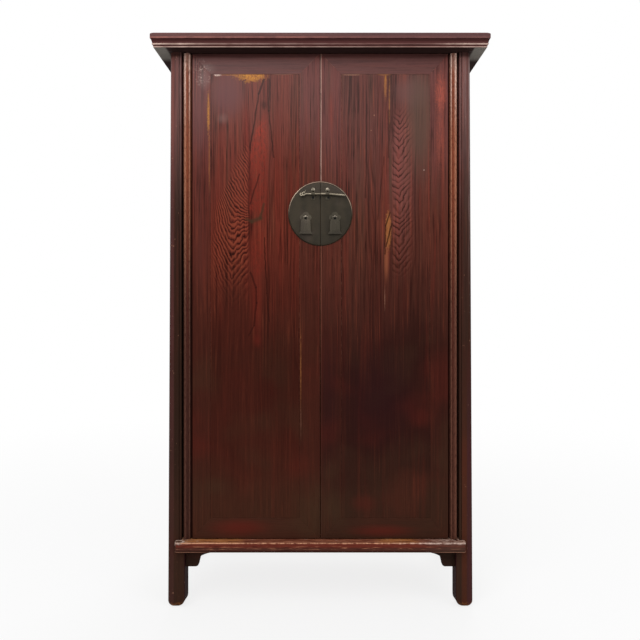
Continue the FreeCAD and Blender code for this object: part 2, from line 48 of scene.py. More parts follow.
# camera: level, nearly square on, about as high as the middle of the doors
photoView = {"place": (0.0093, -2.399, 1.0185), "lens": 37.637, "shift": (-0.005, -0.0453), "sensor": 36.0, "far": 60.0}


def addCamera(view):
    data = bpy.data.cameras.new("camera")
    data.sensor_width = view["sensor"]
    data.lens = view["lens"]
    data.shift_x, data.shift_y = view["shift"]
    data.clip_end = view["far"]
    camera = bpy.data.objects.new("camera", data)
    camera.location = view["place"]
    camera.rotation_euler = (math.radians(90), 0, 0)
    scene.collection.objects.link(camera)
    scene.camera = camera


addCamera(photoView)
scene.view_settings.view_transform = "Standard"
print("camera set")
signs = {"left": -1.0, "right": 1.0}


def tone(red, green, blue):  # a colour as seen on screen, 0 to 255
    def linear(value):
        value /= 255.0
        return value / 12.92 if value <= 0.04045 else ((value + 0.055) / 1.055) ** 2.4
    return (linear(red), linear(green), linear(blue), 1.0)


class Field:  # one shader socket that takes part in sums
    def __init__(self, finish, socket):
        self.finish = finish
        self.socket = socket

    def calc(self, operation, *values):
        return self.finish.node("ShaderNodeMath", {"operation": operation}, dict(enumerate(values)))

    def __add__(self, other):
        return self.calc("ADD", self, other)

    def __radd__(self, other):
        return self.calc("ADD", other, self)

    def __sub__(self, other):
        return self.calc("SUBTRACT", self, other)

    def __rsub__(self, other):
        return self.calc("SUBTRACT", other, self)

    def __mul__(self, other):
        return self.calc("MULTIPLY", self, other)

    def __rmul__(self, other):
        return self.calc("MULTIPLY", other, self)

    def __truediv__(self, other):
        return self.calc("DIVIDE", self, other)

    def __rtruediv__(self, other):
        return self.calc("DIVIDE", other, self)

    def __pow__(self, other):
        return self.calc("POWER", self, other)

    def __neg__(self):
        return self.calc("MULTIPLY", self, -1.0)

    def __abs__(self):
        return self.calc("ABSOLUTE", self)

    def fraction(self):
        return self.calc("FRACT", self)

    def atMost(self, other):
        return self.calc("MINIMUM", self, other)

    def atLeast(self, other):
        return self.calc("MAXIMUM", self, other)

    def fade(self, low, high):  # 0 at low, 1 at high, smooth between, either way round
        return self.finish.node("ShaderNodeMapRange", {"interpolation_type": "SMOOTHSTEP"},
                                {0: self, 1: low, 2: high})

    def between(self, low, lowFull, highFull, high):  # 1 from lowFull to highFull, 0 outside low and high
        return self.fade(low, lowFull) * self.fade(high, highFull)


class Maker:  # adds nodes to one tree
    def __init__(self, tree):
        self.tree = tree
        tree.nodes.clear()

    def node(self, kind, settings=None, sockets=None, out=0):
        made = self.tree.nodes.new(kind)
        for key, value in (settings or {}).items():
            setattr(made, key, value)
        for key, value in (sockets or {}).items():
            if isinstance(value, Field):
                self.tree.links.new(value.socket, made.inputs[key])
            else:
                made.inputs[key].default_value = value
        if isinstance(out, tuple):
            return [Field(self, made.outputs[key]) for key in out]
        return Field(self, made.outputs[out]) if len(made.outputs) else None


class Finish(Maker):  # a material and the nodes in it
    def __init__(self, name, palette=None):
        self.palette = palette
        self.material = bpy.data.materials.new(name)
        self.material.use_nodes = True
        super().__init__(self.material.node_tree)
        self.place = self.node("ShaderNodeTexCoord", out="Object")
        self.x, self.y, self.z = self.node("ShaderNodeSeparateXYZ", None, {0: self.place}, out=(0, 1, 2))

    def point(self, x, y, z):
        return self.node("ShaderNodeCombineXYZ", None, {0: x, 1: y, 2: z})

    def noise(self, spot, detail=3.0, roughness=0.55, warp=0.0):
        return self.node("ShaderNodeTexNoise", None, {"Vector": spot, "Scale": 1.0, "Detail": detail,
                                                      "Roughness": roughness, "Distortion": warp})

    def cloud(self, size, seed=0.0, detail=3.0):  # soft blotches about size metres across
        return self.noise(self.point(self.x / size + seed, self.y / size, self.z / size), detail)

    def sway(self, size, reach, seed=0.0, detail=3.0):  # the same blotches, reach metres or counts from dip to crest
        return (self.cloud(size, seed, detail) - 0.5) * reach

    def grain(self, pace, detail=3.0, roughness=0.55, warp=0.0, seed=0.0):  # blotches drawn out, pace per metre
        paceX, paceY, paceZ = pace
        return self.noise(self.point(self.x * paceX + seed, self.y * paceY, self.z * paceZ), detail, roughness, warp)

    def mix(self, share, first, second):
        return self.node("ShaderNodeMix", {"data_type": "RGBA"}, {0: share, 6: first, 7: second}, out=2)

    def over(self, colour, *coats):  # lays coats of (share, tint or its name) over a colour in turn
        for share, tint in coats:
            colour = self.mix(share, colour, self.palette[tint] if isinstance(tint, str) else tint)
        return colour

    def patch(self, x, z, width, height, soft, fray):  # soft-edged spot seen from the front, its edge broken up by fray
        across = abs(self.x - x) / (width / 2)
        up = abs(self.z - z) / (height / 2)
        return ((across * across + up * up) ** 0.5 + fray).fade(1.0, 1.0 - soft)

    def attribute(self, name):
        return self.node("ShaderNodeAttribute", {"attribute_name": name}, out="Fac")

    def surface(self, fixed, **varying):
        bump = varying.pop("bump", None)
        sockets = dict(fixed)
        sockets.update({key.replace("_", " "): value for key, value in varying.items()})
        if bump:
            height, strength, depth = bump
            sockets["Normal"] = self.node("ShaderNodeBump", None,
                                          {"Height": height, "Strength": strength, "Distance": depth})
        shader = self.node("ShaderNodeBsdfPrincipled", None, sockets)
        self.node("ShaderNodeOutputMaterial", None, {0: shader})
        return self.material


class Shape(Maker):  # a geometry tree with named inputs
    def __init__(self, name, sizes):
        super().__init__(bpy.data.node_groups.new(name, "GeometryNodeTree"))
        face = self.tree.interface
        face.new_socket("Geometry", in_out="OUTPUT", socket_type="NodeSocketGeometry")
        face.new_socket("Geometry", in_out="INPUT", socket_type="NodeSocketGeometry")
        for label, kind in {**sizes, "Finish": "Material"}.items():
            face.new_socket(label, in_out="INPUT", socket_type="NodeSocket" + kind)
        entry = self.tree.nodes.new("NodeGroupInput")
        self.given = {socket.name: Field(self, socket) for socket in entry.outputs if socket.name}

    def close(self, geometry):
        whole = self.node("GeometryNodeRealizeInstances", None, {0: geometry})
        whole = self.node("GeometryNodeSetMaterial", None, {0: whole, "Material": self.given["Finish"]})
        self.node("NodeGroupOutput", None, {0: whole})

    def grow(self, name, mesh, values):  # runs the tree over a mesh and keeps the plain result
        item = bpy.data.objects.new(name, mesh)
        scene.collection.objects.link(item)
        step = item.modifiers.new("shape", "NODES")
        step.node_group = self.tree
        for socket in self.tree.interface.items_tree:
            if socket.item_type == "SOCKET" and socket.in_out == "INPUT" and socket.name in values:
                step[socket.identifier] = values[socket.name]
        bpy.context.view_layer.update()
        result = bpy.data.meshes.new_from_object(item.evaluated_get(bpy.context.evaluated_depsgraph_get()))
        item.modifiers.remove(step)
        item.data = result
        bpy.data.meshes.remove(mesh)
        return item


# stage: pale floor and backdrop, soft light
stageLook = {"floorSize": 80.0, "paper": 0.82, "glow": 0.8, "fade": (0.8, 3.5), "skyLight": 0.48}
lampSet = {
    "key": {"place": (-1.1, -3.4, 3.9), "aim": (0, 0, 0.95), "size": 3.2, "power": 120.0},
    "fill": {"place": (2.6, -3.0, 2.2), "aim": (0, 0, 0.9), "size": 2.6, "power": 45.0},
    "back": {"place": (0.5, 3.4, 3.2), "aim": (0, 0, 1.0), "size": 3.0, "power": 90.0},
}


def lightPathShare(make):  # 1 for what the camera sees, straight or in a reflection
    camera, glossy, through = make("ShaderNodeLightPath", None, None,
                                   out=("Is Camera Ray", "Is Glossy Ray", "Is Transmission Ray"))
    return (camera + glossy + through).atMost(1.0)


def makeStage(look, lamps):
    size = look["floorSize"]
    mesh = bpy.data.meshes.new("floor")
    mesh.from_pydata([(-size, -size, 0), (size, -size, 0), (size, size, 0), (-size, size, 0)], [], [(0, 1, 2, 3)])
    floor = bpy.data.objects.new("floor", mesh)
    scene.collection.objects.link(floor)
    paper = Finish("paperFloor")
    grey = look["paper"]
    shade = paper.node("ShaderNodeBsdfDiffuse", None, {"Color": (grey, grey, grey, 1)})
    glow = paper.node("ShaderNodeEmission", None, {"Color": (1, 1, 1, 1), "Strength": 1.0})
    away = ((paper.x * paper.x + paper.y * paper.y) ** 0.5).fade(*look["fade"])
    share = lightPathShare(paper.node) * (away * (1.0 - look["glow"]) + look["glow"])
    seen = paper.node("ShaderNodeMixShader", None, {0: share, 1: shade, 2: glow})
    paper.node("ShaderNodeOutputMaterial", None, {0: seen})
    mesh.materials.append(paper.material)
    world = bpy.data.worlds.new("studio")
    scene.world = world
    world.use_nodes = True
    sky = Maker(world.node_tree)
    share = lightPathShare(sky.node)
    light = look["skyLight"]
    dim = sky.node("ShaderNodeBackground", None, {"Color": (light, light, light, 1), "Strength": 1.0})
    white = sky.node("ShaderNodeBackground", None, {"Color": (1, 1, 1, 1), "Strength": 1.0})
    both = sky.node("ShaderNodeMixShader", None, {0: share, 1: dim, 2: white})
    sky.node("ShaderNodeOutputWorld", None, {0: both})
    for name, lamp in lamps.items():
        data = bpy.data.lights.new(name, "AREA")
        data.size = lamp["size"]
        data.energy = lamp["power"]
        item = bpy.data.objects.new(name, data)
        item.location = lamp["place"]
        toward = Vector(lamp["aim"]) - Vector(lamp["place"])
        item.rotation_euler = toward.to_track_quat("-Z", "Y").to_euler()
        item.visible_camera = False
        scene.collection.objects.link(item)


makeStage(stageLook, lampSet)
print("stage set")


# lacquered elm: plum near the top, red-brown in the middle, darker and plainer lower down; the darkening towards the
# bottom is partly painted shade, standing in for light that falls off lower down
# the near-black grey (30, 24, 22) in this palette is painted shade: under the overhang and on the underside of the top
lacquer = {
    "deep": tone(32, 13, 10), "paintedShade": tone(30, 24, 22), "amber": tone(186, 124, 44), "gold": tone(150, 96, 52),
    "worn": tone(158, 112, 90), "pale": tone(214, 186, 172), "scarlet": tone(148, 52, 38), "olive": tone(66, 50, 38),
    "smoke": tone(80, 62, 52), "orange": tone(140, 80, 54), "coral": tone(168, 80, 62), "violet": tone(38, 16, 18),
    "plum": tone(92, 54, 54), "red": tone(112, 38, 28), "umber": tone(74, 38, 33), "ash": tone(132, 110, 106),
    "glow": tone(136, 66, 46), "pink": tone(136, 80, 74), "tan": tone(176, 122, 92), "maroon": tone(88, 30, 23),
    "bark": tone(60, 42, 29),
}
lacquerGloss = {"IOR": 1.04, "Coat Roughness": 0.42, "Coat IOR": 1.5}


def grainFields(finish, along, seed):
    across, deep, run = {"z": (finish.x, finish.y, finish.z), "x": (finish.z, finish.y, finish.x),
                         "y": (finish.x, finish.z, finish.y)}[along]
    streak = finish.noise(finish.point(across * 44.0 + seed, deep * 44.0, run * 1.6), 4.0, 0.62, 0.5)
    vein = finish.noise(finish.point(across * 200.0 + seed, deep * 200.0, run * 3.8), 3.0, 0.62, 0.5)
    fibre = finish.noise(finish.point(across * 420.0 + seed, deep * 420.0, run * 9.0), 3.0, 0.6)
    pores = finish.noise(finish.point(across * 1200.0 + seed, deep * 1200.0, run * 40.0), 2.0, 0.5)
    return streak, vein, fibre, pores


def agedWood(name, along, seed, tones, gloss=0.3, wear=None, paint=None, figure=1.0, clouds=None):
    finish = Finish(name, lacquer)
    streak, vein, fibre, pores = grainFields(finish, along, seed)
    high, middle, low = tones
    drift = clouds or seed
    height = finish.z + finish.sway(0.3, 0.26, drift)
    mottle = finish.cloud(0.22, drift + 5.0, 2.0)
    lower = height.fade(1.1, 0.6) * (1.0 if clouds else figure)
    lively = height.fade(0.6, 1.35) * 0.8 + 0.2
    patchy = finish.cloud(0.09, seed + 8.0, 2.0).fade(0.35, 0.6) * 0.6 + 0.4
    lines = vein.fade(0.5, 0.34) * lively * patchy * figure
    # tones by height: partly the wood's own colour, partly painted shade that darkens it lower down
    colour = finish.over(
        low,
        (height.fade(0.78, 1.25), middle),
        (height.fade(1.25, 1.65), high),
        (mottle.fade(0.48, 0.68) * lower * 0.3, "maroon"),
        ((mottle.fade(0.5, 0.3) * 0.35 + height.fade(0.55, 0.32) * 0.4) * lower, "bark"),
        (streak.fade(0.48, 0.72) * lively * 0.4 * figure, "red"),
        (streak.fade(0.5, 0.28) * height.fade(0.8, 1.4) * 0.45 * figure, "olive"),
        (lines * 0.85, "deep"),
        (vein.fade(0.54, 0.68) * lively * patchy * 0.42 * figure, "glow"),
        (fibre.fade(0.52, 0.36) * 0.26 * (lively * 0.5 + 0.5), "deep"),
        (pores.fade(0.55, 0.7) * 0.24, "deep"))
    coat = height.fade(1.1, 1.75) * gloss + 0.03
    relief = fibre * 0.5 + pores * 0.3 - lines * 0.3
    if paint:
        colour, coat, relief = paint(finish, colour, coat, relief, fibre)
    if wear:
        marking = finish.attribute("worn") * finish.cloud(0.014, seed + 3.0).fade(0.45, 0.6)
        colour = finish.over(colour, (marking * (height.fade(0.4, 1.2) * 0.3 + 0.1), wear))
    return finish.surface(lacquerGloss, Base_Color=colour, Coat_Weight=coat, Roughness=0.5 + (fibre - 0.5) * 0.25,
                          bump=(relief, 0.25, 0.0006))


def bareElm(name, along, seed, look):  # unpainted boards laid side by side
    finish = Finish(name, look)
    streak, vein, fibre, pores = grainFields(finish, along, seed)
    across = finish.z + (finish.y if along == "x" else finish.x)
    board = across / look["board"] + seed * 0.37
    part = board.fraction()
    pick = finish.noise(finish.point((board - part) * 7.3 + seed, 2.0, 5.0), 1.0)
    bend = (streak - 0.5) * 5.0 + finish.sway(0.2, 3.0, seed + 9.0)
    rings = ringLine(across / look["ring"] + pick * 4.0 + bend, 0.6)
    joint = (part.fade(0.012, 0.004) + part.fade(0.988, 0.996)) * 0.75
    colour = finish.over(
        look["dark"],
        (pick.fade(0.3, 0.7), "light"),
        (finish.cloud(0.25, seed + 2.0).fade(0.4, 0.7) * 0.35, "aged"),
        (rings * (streak * 0.5 + 0.15), "vein"),
        (vein.fade(0.5, 0.32) * 0.3, "vein"),
        (fibre.fade(0.5, 0.34) * 0.3, "vein"),
        (pores.fade(0.55, 0.7) * 0.3, "joint"),
        (joint, "joint"),
        (finish.cloud(0.12, seed + 6.0).fade(0.58, 0.75) * 0.25, "joint"))
    relief = fibre * 0.5 + pores * 0.3 - rings * 0.2 - joint
    return finish.surface({"IOR": 1.2}, Base_Color=colour, Roughness=0.75 + (fibre - 0.5) * 0.25,
                          bump=(relief, 0.3, 0.0008))


def ringLine(count, width):  # dark line at each whole count: quick edge, slow fade
    part = count.fraction()
    return part.fade(0.0, 0.1) * part.fade(width, 0.12)


def ringGlow(count):  # the paler wood just before each dark line
    part = count.fraction()
    return part.fade(0.45, 0.7) * part.fade(1.0, 0.86)


# figure of each door panel: where its nested points run down, how far apart they are, where it fades in and out
leftFigure = {"heart": -0.2870, "turn": (1.19, 1.33), "spacing": 0.0240, "closer": 15.0, "closeFrom": 1.28,
              "zigzag": (0.019, 0.017), "band": (-0.356, -0.325, -0.240, -0.226), "reach": (0.90, 1.10, 1.52, 1.70)}
rightFigure = {"heart": 0.2545, "left": 0.022, "right": 0.034, "spacing": 0.0226, "reach": (1.04, 1.14, 1.54, 1.64)}


def straightRings(finish, seed):
    bend = (finish.grain((16.0, 16.0, 1.1), 2.0, seed=seed) - 0.5) * 9.0
    strong = finish.grain((30.0, 30.0, 2.0), 1.0, seed=seed).fade(0.35, 0.7)
    count = finish.x / 0.013 + bend
    return (ringLine(count, 0.42) * 0.5 + ringLine(count * 2.0 + 0.3, 0.6) * 0.25) * strong


def leftRings(finish):
    look, x, z = leftFigure, finish.x, finish.z
    upper = z.fade(*look["turn"])
    offset = x - look["heart"] + finish.sway(0.11, 0.016, 7.0, 1.0)
    leftArm, rightArm = (-offset).atLeast(0.0), offset.atLeast(0.0)
    rise = leftArm * leftArm * 10.0 + leftArm * (upper * 0.9 + 1.7)
    rise = rise + rightArm * (1.25 - upper * 3.6)  # turns down to the right higher up
    width, height = look["zigzag"]  # small steps right of the point
    step = abs((x / width + finish.cloud(0.06, 3.0) + 0.1).fraction() - 0.5) * height
    step = step * offset.between(-0.022, -0.004, 0.045, 0.075) * z.between(1.09, 1.16, 1.25, 1.33)
    above = (z - look["closeFrom"]).atLeast(0.0)
    count = (z - rise + step) / look["spacing"] + above * look["closer"]
    count = count + finish.sway(0.07, 2.6, 4.0) + finish.sway(0.014, 0.8, 6.0)
    lines = ringLine(count, finish.cloud(0.025, 9.0) * 0.7 + 0.1)
    lines = lines * (finish.cloud(0.035, 2.0).fade(0.34, 0.6) * 0.7 + 0.3) * (z.fade(0.98, 1.14) * 0.6 + 0.4)
    start, full, last, end = look["band"]
    narrower = (above * 0.48).atMost(0.112)  # the figure draws in towards the heart higher up
    share = (x + finish.sway(0.04, 0.03, 12.0) - narrower).fade(start, full) * x.fade(end, last)
    share = share * z.between(*look["reach"])
    return lines * share + straightRings(finish, 2.0) * (1 - share), ringGlow(count) * share * z.fade(0.95, 1.2)


def rightRings(finish):
    look, z = rightFigure, finish.z
    left, right = look["left"], look["right"]
    drift = (finish.noise(finish.point(z * 6.0, 3.0, 0.0), 2.0) - 0.5) * 0.016
    offset = finish.x - look["heart"] + drift
    leftArm, rightArm = (-offset).atLeast(0.0), offset.atLeast(0.0)
    rise = leftArm + rightArm * 1.45 + (leftArm - left).atLeast(0.0) * 9.0
    count = (z - rise) / look["spacing"] + finish.sway(0.09, 3.4, 8.0) + finish.sway(0.012, 0.6, 5.0)
    lines = ringLine(count, finish.cloud(0.025, 9.0) * 0.7 + 0.08)
    lines = lines * (finish.cloud(0.035, 2.0).fade(0.32, 0.6) * 0.7 + 0.25)
    ragged = finish.sway(0.02, 0.03, 11.0)
    leftArm, rightArm = leftArm + ragged, rightArm + ragged
    share = leftArm.fade(left * 1.5, left * 0.5) * rightArm.fade(right * 1.5, right * 0.5) * z.between(*look["reach"])
    bleached = leftArm.fade(0.048, 0.004) * rightArm.fade(0.070, 0.008) * z.between(1.08, 1.42, 1.50, 1.66)
    return lines * share + straightRings(finish, 7.0) * (1 - share), ringGlow(count) * share * 0.25 + bleached * 0.6


# marks of age on the doors: colour, share, centre x and z, width, height, softness
doorMarks = {
    "leftpanel": [
        ("red", 0.35, -0.206, 0.98, 0.05, 0.34, 0.9), ("red", 0.4, -0.240, 1.56, 0.045, 0.26, 0.95),
        ("plum", 0.55, -0.30, 1.65, 0.13, 0.16, 0.9), ("deep", 0.3, -0.13, 0.72, 0.20, 0.50, 0.95),
        ("amber", 0.9, -0.2225, 1.7185, 0.112, 0.058, 0.35), ("gold", 0.8, -0.285, 1.7185, 0.09, 0.014, 0.4),
        ("pale", 0.75, -0.3316, 1.7150, 0.028, 0.010, 0.5), ("worn", 0.55, -0.12, 1.7178, 0.09, 0.007, 0.5),
        ("maroon", 0.5, -0.2035, 0.86, 0.040, 0.06, 0.9), ("deep", 0.6, -0.1815, 1.618, 0.028, 0.040, 0.8),
        ("ash", 0.25, -0.315, 1.575, 0.05, 0.05, 0.9),
    ],
    "leftstile": [
        ("amber", 0.8, -0.3608, 1.590, 0.011, 0.17, 0.6), ("gold", 0.55, -0.3580, 1.44, 0.006, 0.26, 0.8),
        ("gold", 0.6, -0.0630, 0.775, 0.005, 0.34, 0.8), ("worn", 0.3, -0.0625, 0.60, 0.003, 0.16, 0.8),
        ("plum", 0.5, -0.385, 1.58, 0.07, 0.34, 0.9), ("ash", 0.35, -0.375, 1.705, 0.06, 0.10, 0.9),
        ("umber", 0.5, -0.385, 1.16, 0.07, 0.44, 0.9),
    ],
    "leftrail": [("maroon", 0.7, -0.262, 0.256, 0.27, 0.075, 0.9), ("ash", 0.35, -0.375, 1.735, 0.10, 0.05, 0.9)],
    "rightpanel": [
        ("smoke", 0.75, 0.3235, 1.57, 0.120, 0.50, 0.8), ("gold", 0.75, 0.2190, 1.215, 0.024, 0.16, 0.5),
        ("orange", 0.6, 0.2130, 1.12, 0.020, 0.18, 0.8), ("worn", 0.5, 0.2080, 0.995, 0.003, 0.10, 0.7),
        ("gold", 0.75, 0.2095, 1.68, 0.014, 0.12, 0.9), ("gold", 0.7, 0.2225, 1.63, 0.005, 0.22, 0.7),
        ("amber", 0.5, 0.2110, 1.705, 0.008, 0.05, 0.9), ("gold", 0.6, 0.205, 1.7165, 0.05, 0.008, 0.5),
        ("worn", 0.6, 0.10, 1.7160, 0.08, 0.007, 0.5), ("olive", 0.6, 0.2260, 1.40, 0.014, 0.30, 0.8),
        ("pale", 0.7, 0.3342, 1.4085, 0.005, 0.004, 0.5), ("violet", 0.7, 0.19, 0.68, 0.32, 0.46, 0.95),
        ("maroon", 0.3, 0.14, 0.335, 0.12, 0.08, 0.9), ("worn", 0.6, 0.1737, 1.585, 0.005, 0.006, 0.6),
        ("worn", 0.6, 0.164, 1.5364, 0.005, 0.006, 0.6),
    ],
    "rightstile": [("coral", 0.65, 0.3880, 1.660, 0.052, 0.17, 0.7), ("coral", 0.35, 0.386, 1.52, 0.050, 0.34, 0.9),
                   ("violet", 0.45, 0.03, 0.68, 0.09, 0.5, 0.95), ("red", 0.3, 0.034, 1.60, 0.03, 0.2, 0.9)],
    "rightrail": [("maroon", 0.6, 0.20, 0.245, 0.30, 0.055, 0.9)],
}
# dark grain outlines on the panels: colour, share, from x z, to x z, width
leftLines = [
    ("deep", 0.75, -0.181, 1.70, -0.198, 1.655, 0.006), ("deep", 0.75, -0.198, 1.655, -0.227, 1.472, 0.004),
    ("deep", 0.65, -0.164, 1.70, -0.166, 1.60, 0.005), ("deep", 0.65, -0.166, 1.60, -0.150, 1.45, 0.004),
    ("deep", 0.6, -0.196, 1.395, -0.226, 1.30, 0.004), ("deep", 0.5, -0.227, 1.472, -0.232, 1.27, 0.003),
    ("bark", 0.75, -0.1825, 1.299, -0.193, 1.253, 0.006), ("bark", 0.75, -0.193, 1.253, -0.221, 1.2425, 0.010),
    ("bark", 0.6, -0.221, 1.2425, -0.2386, 1.250, 0.007), ("deep", 0.7, -0.181, 1.19, -0.172, 1.01, 0.0035),
    ("deep", 0.6, -0.172, 1.01, -0.165, 0.92, 0.003), ("deep", 0.55, -0.2244, 1.078, -0.207, 1.03, 0.005),
    ("deep", 0.6, -0.207, 1.03, -0.206, 0.98, 0.005), ("deep", 0.6, -0.206, 0.98, -0.214, 0.907, 0.005),
    ("deep", 0.5, -0.214, 0.907, -0.2315, 0.876, 0.004),
]
rightLines = [
    ("deep", 0.8, 0.2255, 1.2705, 0.2114, 1.2286, 0.0035), ("deep", 0.8, 0.2114, 1.2286, 0.2079, 1.1377, 0.003),
    ("deep", 0.8, 0.2308, 1.2357, 0.2133, 1.1622, 0.0035), ("deep", 0.5, 0.2200, 1.60, 0.2190, 1.45, 0.005),
    ("deep", 0.5, 0.150, 1.62, 0.146, 1.32, 0.004), ("deep", 0.4, 0.205, 1.45, 0.185, 1.25, 0.004),
]
hazed = {"left": ((-0.30, 1.66, 0.16, 0.24), tone(96, 56, 54)), "right": ((0.297, 1.660, 0.17, 0.16), tone(96, 64, 60))}
redHeart = {"left": -0.231, "lean": 0.33, "leanFrom": 1.47, "right": -0.170, "low": 1.255, "high": 1.61}
chips = ("gold", "pale", "worn", "coral")  # paint lost in splinters


def stroke(finish, warp, x0, z0, x1, z1, width):  # soft line between two places on a door
    spanX, spanZ = x1 - x0, z1 - z0
    dx = finish.x - x0 + warp
    dz = finish.z - z0
    along = ((dx * spanX + dz * spanZ) / (spanX ** 2 + spanZ ** 2)).atLeast(0.0).atMost(1.0)
    offX = dx - along * spanX
    offZ = dz - along * spanZ
    return ((offX * offX + offZ * offZ) ** 0.5).fade(width, width * 0.2)


def panelHeart(finish, colour, fibre):  # red wood between two dark outlines
    look, x, z = redHeart, finish.x, finish.z
    left, right, low, high = look["left"], look["right"], look["low"], look["high"]
    speck = finish.grain((170.0, 90.0, 70.0), 4.0, 0.7).fade(0.36, 0.66)
    leaning = x + (fibre - 0.5) * 0.014 - (z - look["leanFrom"]).atLeast(0.0) * look["lean"]
    body = leaning.fade(left - 0.004, left + 0.010) * (x + (fibre - 0.5) * 0.012).fade(right + 0.008, right - 0.014)
    body = body * z.between(low, low + 0.03, high - 0.08, high)
    redder = finish.mix(z.fade(1.36, 1.56), lacquer["red"], lacquer["scarlet"])
    lower = finish.patch(-0.203, 1.15, 0.066, 0.24, 0.7, (fibre - 0.5) * 0.8)
    return finish.over(colour, (body * (speck * 0.6 + 0.15), redder), (lower * (speck * 0.5 + 0.1), "red"))


def postPaint(finish, sign, colour, coat):  # the pivot post: two crests painted pale, partly as wear and partly as painted highlight, brightest at the top; dark hollows beside them
    x, z = finish.x * sign, finish.z
    post = x.fade(0.4170, 0.4182)
    foot = tone(66, 40, 34) if sign < 0 else tone(86, 52, 42)
    rough = finish.grain((330.0, 330.0, 85.0), 3.0, 0.7)
    hollow = x.between(0.4232, 0.4246, 0.4292, 0.4312)
    crests = x.between(0.4318, 0.4336, 0.4378, 0.4400) + x.between(0.4190, 0.4203, 0.4224, 0.4240)
    crests = (crests + post * z.fade(1.71, 1.76) * 0.35).atMost(1.0)
    paleness = (rough.fade(0.34, 0.6) * 0.55 + 0.2) * (z.fade(0.8, 1.6) * 0.78 + 0.14)
    # the narrow groove beside the post painted near-black, without coat, as shade
    quirk = x.between(0.4108, 0.4124, 0.4172, 0.4184)
    colour = finish.over(
        colour,
        (post * 0.85, finish.mix(z.fade(0.95, 1.5), foot, lacquer["orange"])),
        (post * rough.fade(0.5, 0.36) * 0.6, "deep"),
        (hollow * z.fade(0.5, 1.3) * 0.3, "red"),
        (crests * paleness, finish.mix(z.fade(1.50, 1.72), lacquer["worn"], lacquer["pale"])),
        (quirk * 0.92, "deep"))
    return colour, coat * (1 - quirk)


def doorPaint(side, member):
    sign, left, panel = signs[side], side == "left", member == "panel"

    def paint(finish, colour, coat, relief, fibre):
        x, y, z = finish.x, finish.y, finish.z
        plain = colour
        if panel:
            rings, glow = leftRings(finish) if left else rightRings(finish)
            spot, hazeTone = hazed[side]  # no grain seen there
            smooth = finish.patch(*spot, 0.8, finish.sway(0.03, 0.3, 5.0)) * 0.8
            rings = rings * (1 - smooth)
            shown = (rings * (z.fade(0.4, 1.0) * 0.85 + 0.15)).atMost(1.0)
            colour = finish.over(colour, (glow * 0.5, "glow" if left else "pink"), (smooth, hazeTone), (shown, "deep"))
            relief = relief * 0.5 - rings * 0.15
            if left:
                colour = panelHeart(finish, colour, fibre)
        grit = finish.cloud(0.006, 3.0) - 0.5
        splinter = finish.grain((520.0, 200.0, 42.0), 3.0, 0.6)
        for name, share, *spot in doorMarks[side + member]:
            if name == "amber":  # crumbly rather than splintered
                fray = (splinter - 0.5) * 0.6 + grit * 1.8
                broken = grit.fade(-0.14, 0.10) * 0.65 + 0.35
            elif name in chips:
                fray = (splinter - 0.5) * 1.3 + grit * 0.8
                broken = splinter.fade(0.38, 0.60) * 0.85 + 0.1 if name == "coral" else splinter.fade(0.28, 0.55)
            else:
                fray = (fibre - 0.5) * 0.7
                broken = (fibre * 0.7 + 0.55).atMost(1.0)
            colour = finish.over(colour, (finish.patch(*spot, fray) * broken * share, name))
        if panel:
            warp = finish.sway(0.04, 0.010, 9.0)
            for name, share, *run in leftLines if left else rightLines:
                colour = finish.over(colour, (stroke(finish, warp, *run) * share, name))
        colour = finish.mix(y.fade(-0.2330, -0.2390), plain, colour)  # the inner face has none of these marks
        if member == "stile":
            if not left:  # pale wear along the front corner of the meeting edge
                paleness = finish.cloud(0.06, 3.0).fade(0.3, 0.55) * 0.4 + 0.6
                paleness = paleness * (z.fade(1.25, 1.45) * 0.38 + z.fade(0.62, 1.2) * 0.34 + 0.04)
                seam = x.fade(0.0038, 0.0026) * y.fade(-0.2340, -0.2390) * paleness
                seamTone = finish.mix(z.fade(1.2, 1.4), tone(168, 108, 88), tone(210, 170, 154))
                colour = finish.over(colour, (seam, seamTone))
            colour, coat = postPaint(finish, sign, colour, coat)
        if left and not panel:
            scuff = finish.patch(-0.38, 1.72, 0.09, 0.13, 0.9, grit * 0.8) * (grit * 2.0).fade(0.05, 0.4)
            colour = finish.over(colour, (scuff * 0.45, "pale"))
        shade = (z + finish.sway(0.03, 0.004, 2.0)).fade(1.7640, 1.7800) * (x * sign).fade(0.4190, 0.4170)
        colour = finish.over(colour, (shade * 0.45, "paintedShade"))  # painted shadow under the overhang, darkening the top of each door
        coat = coat * (0.85 - x * 0.6) * (1 - shade)
        if left:
            coat = coat * (z.fade(1.40, 1.68) * 0.5 + 0.5)
        return colour, coat, relief
    return paint


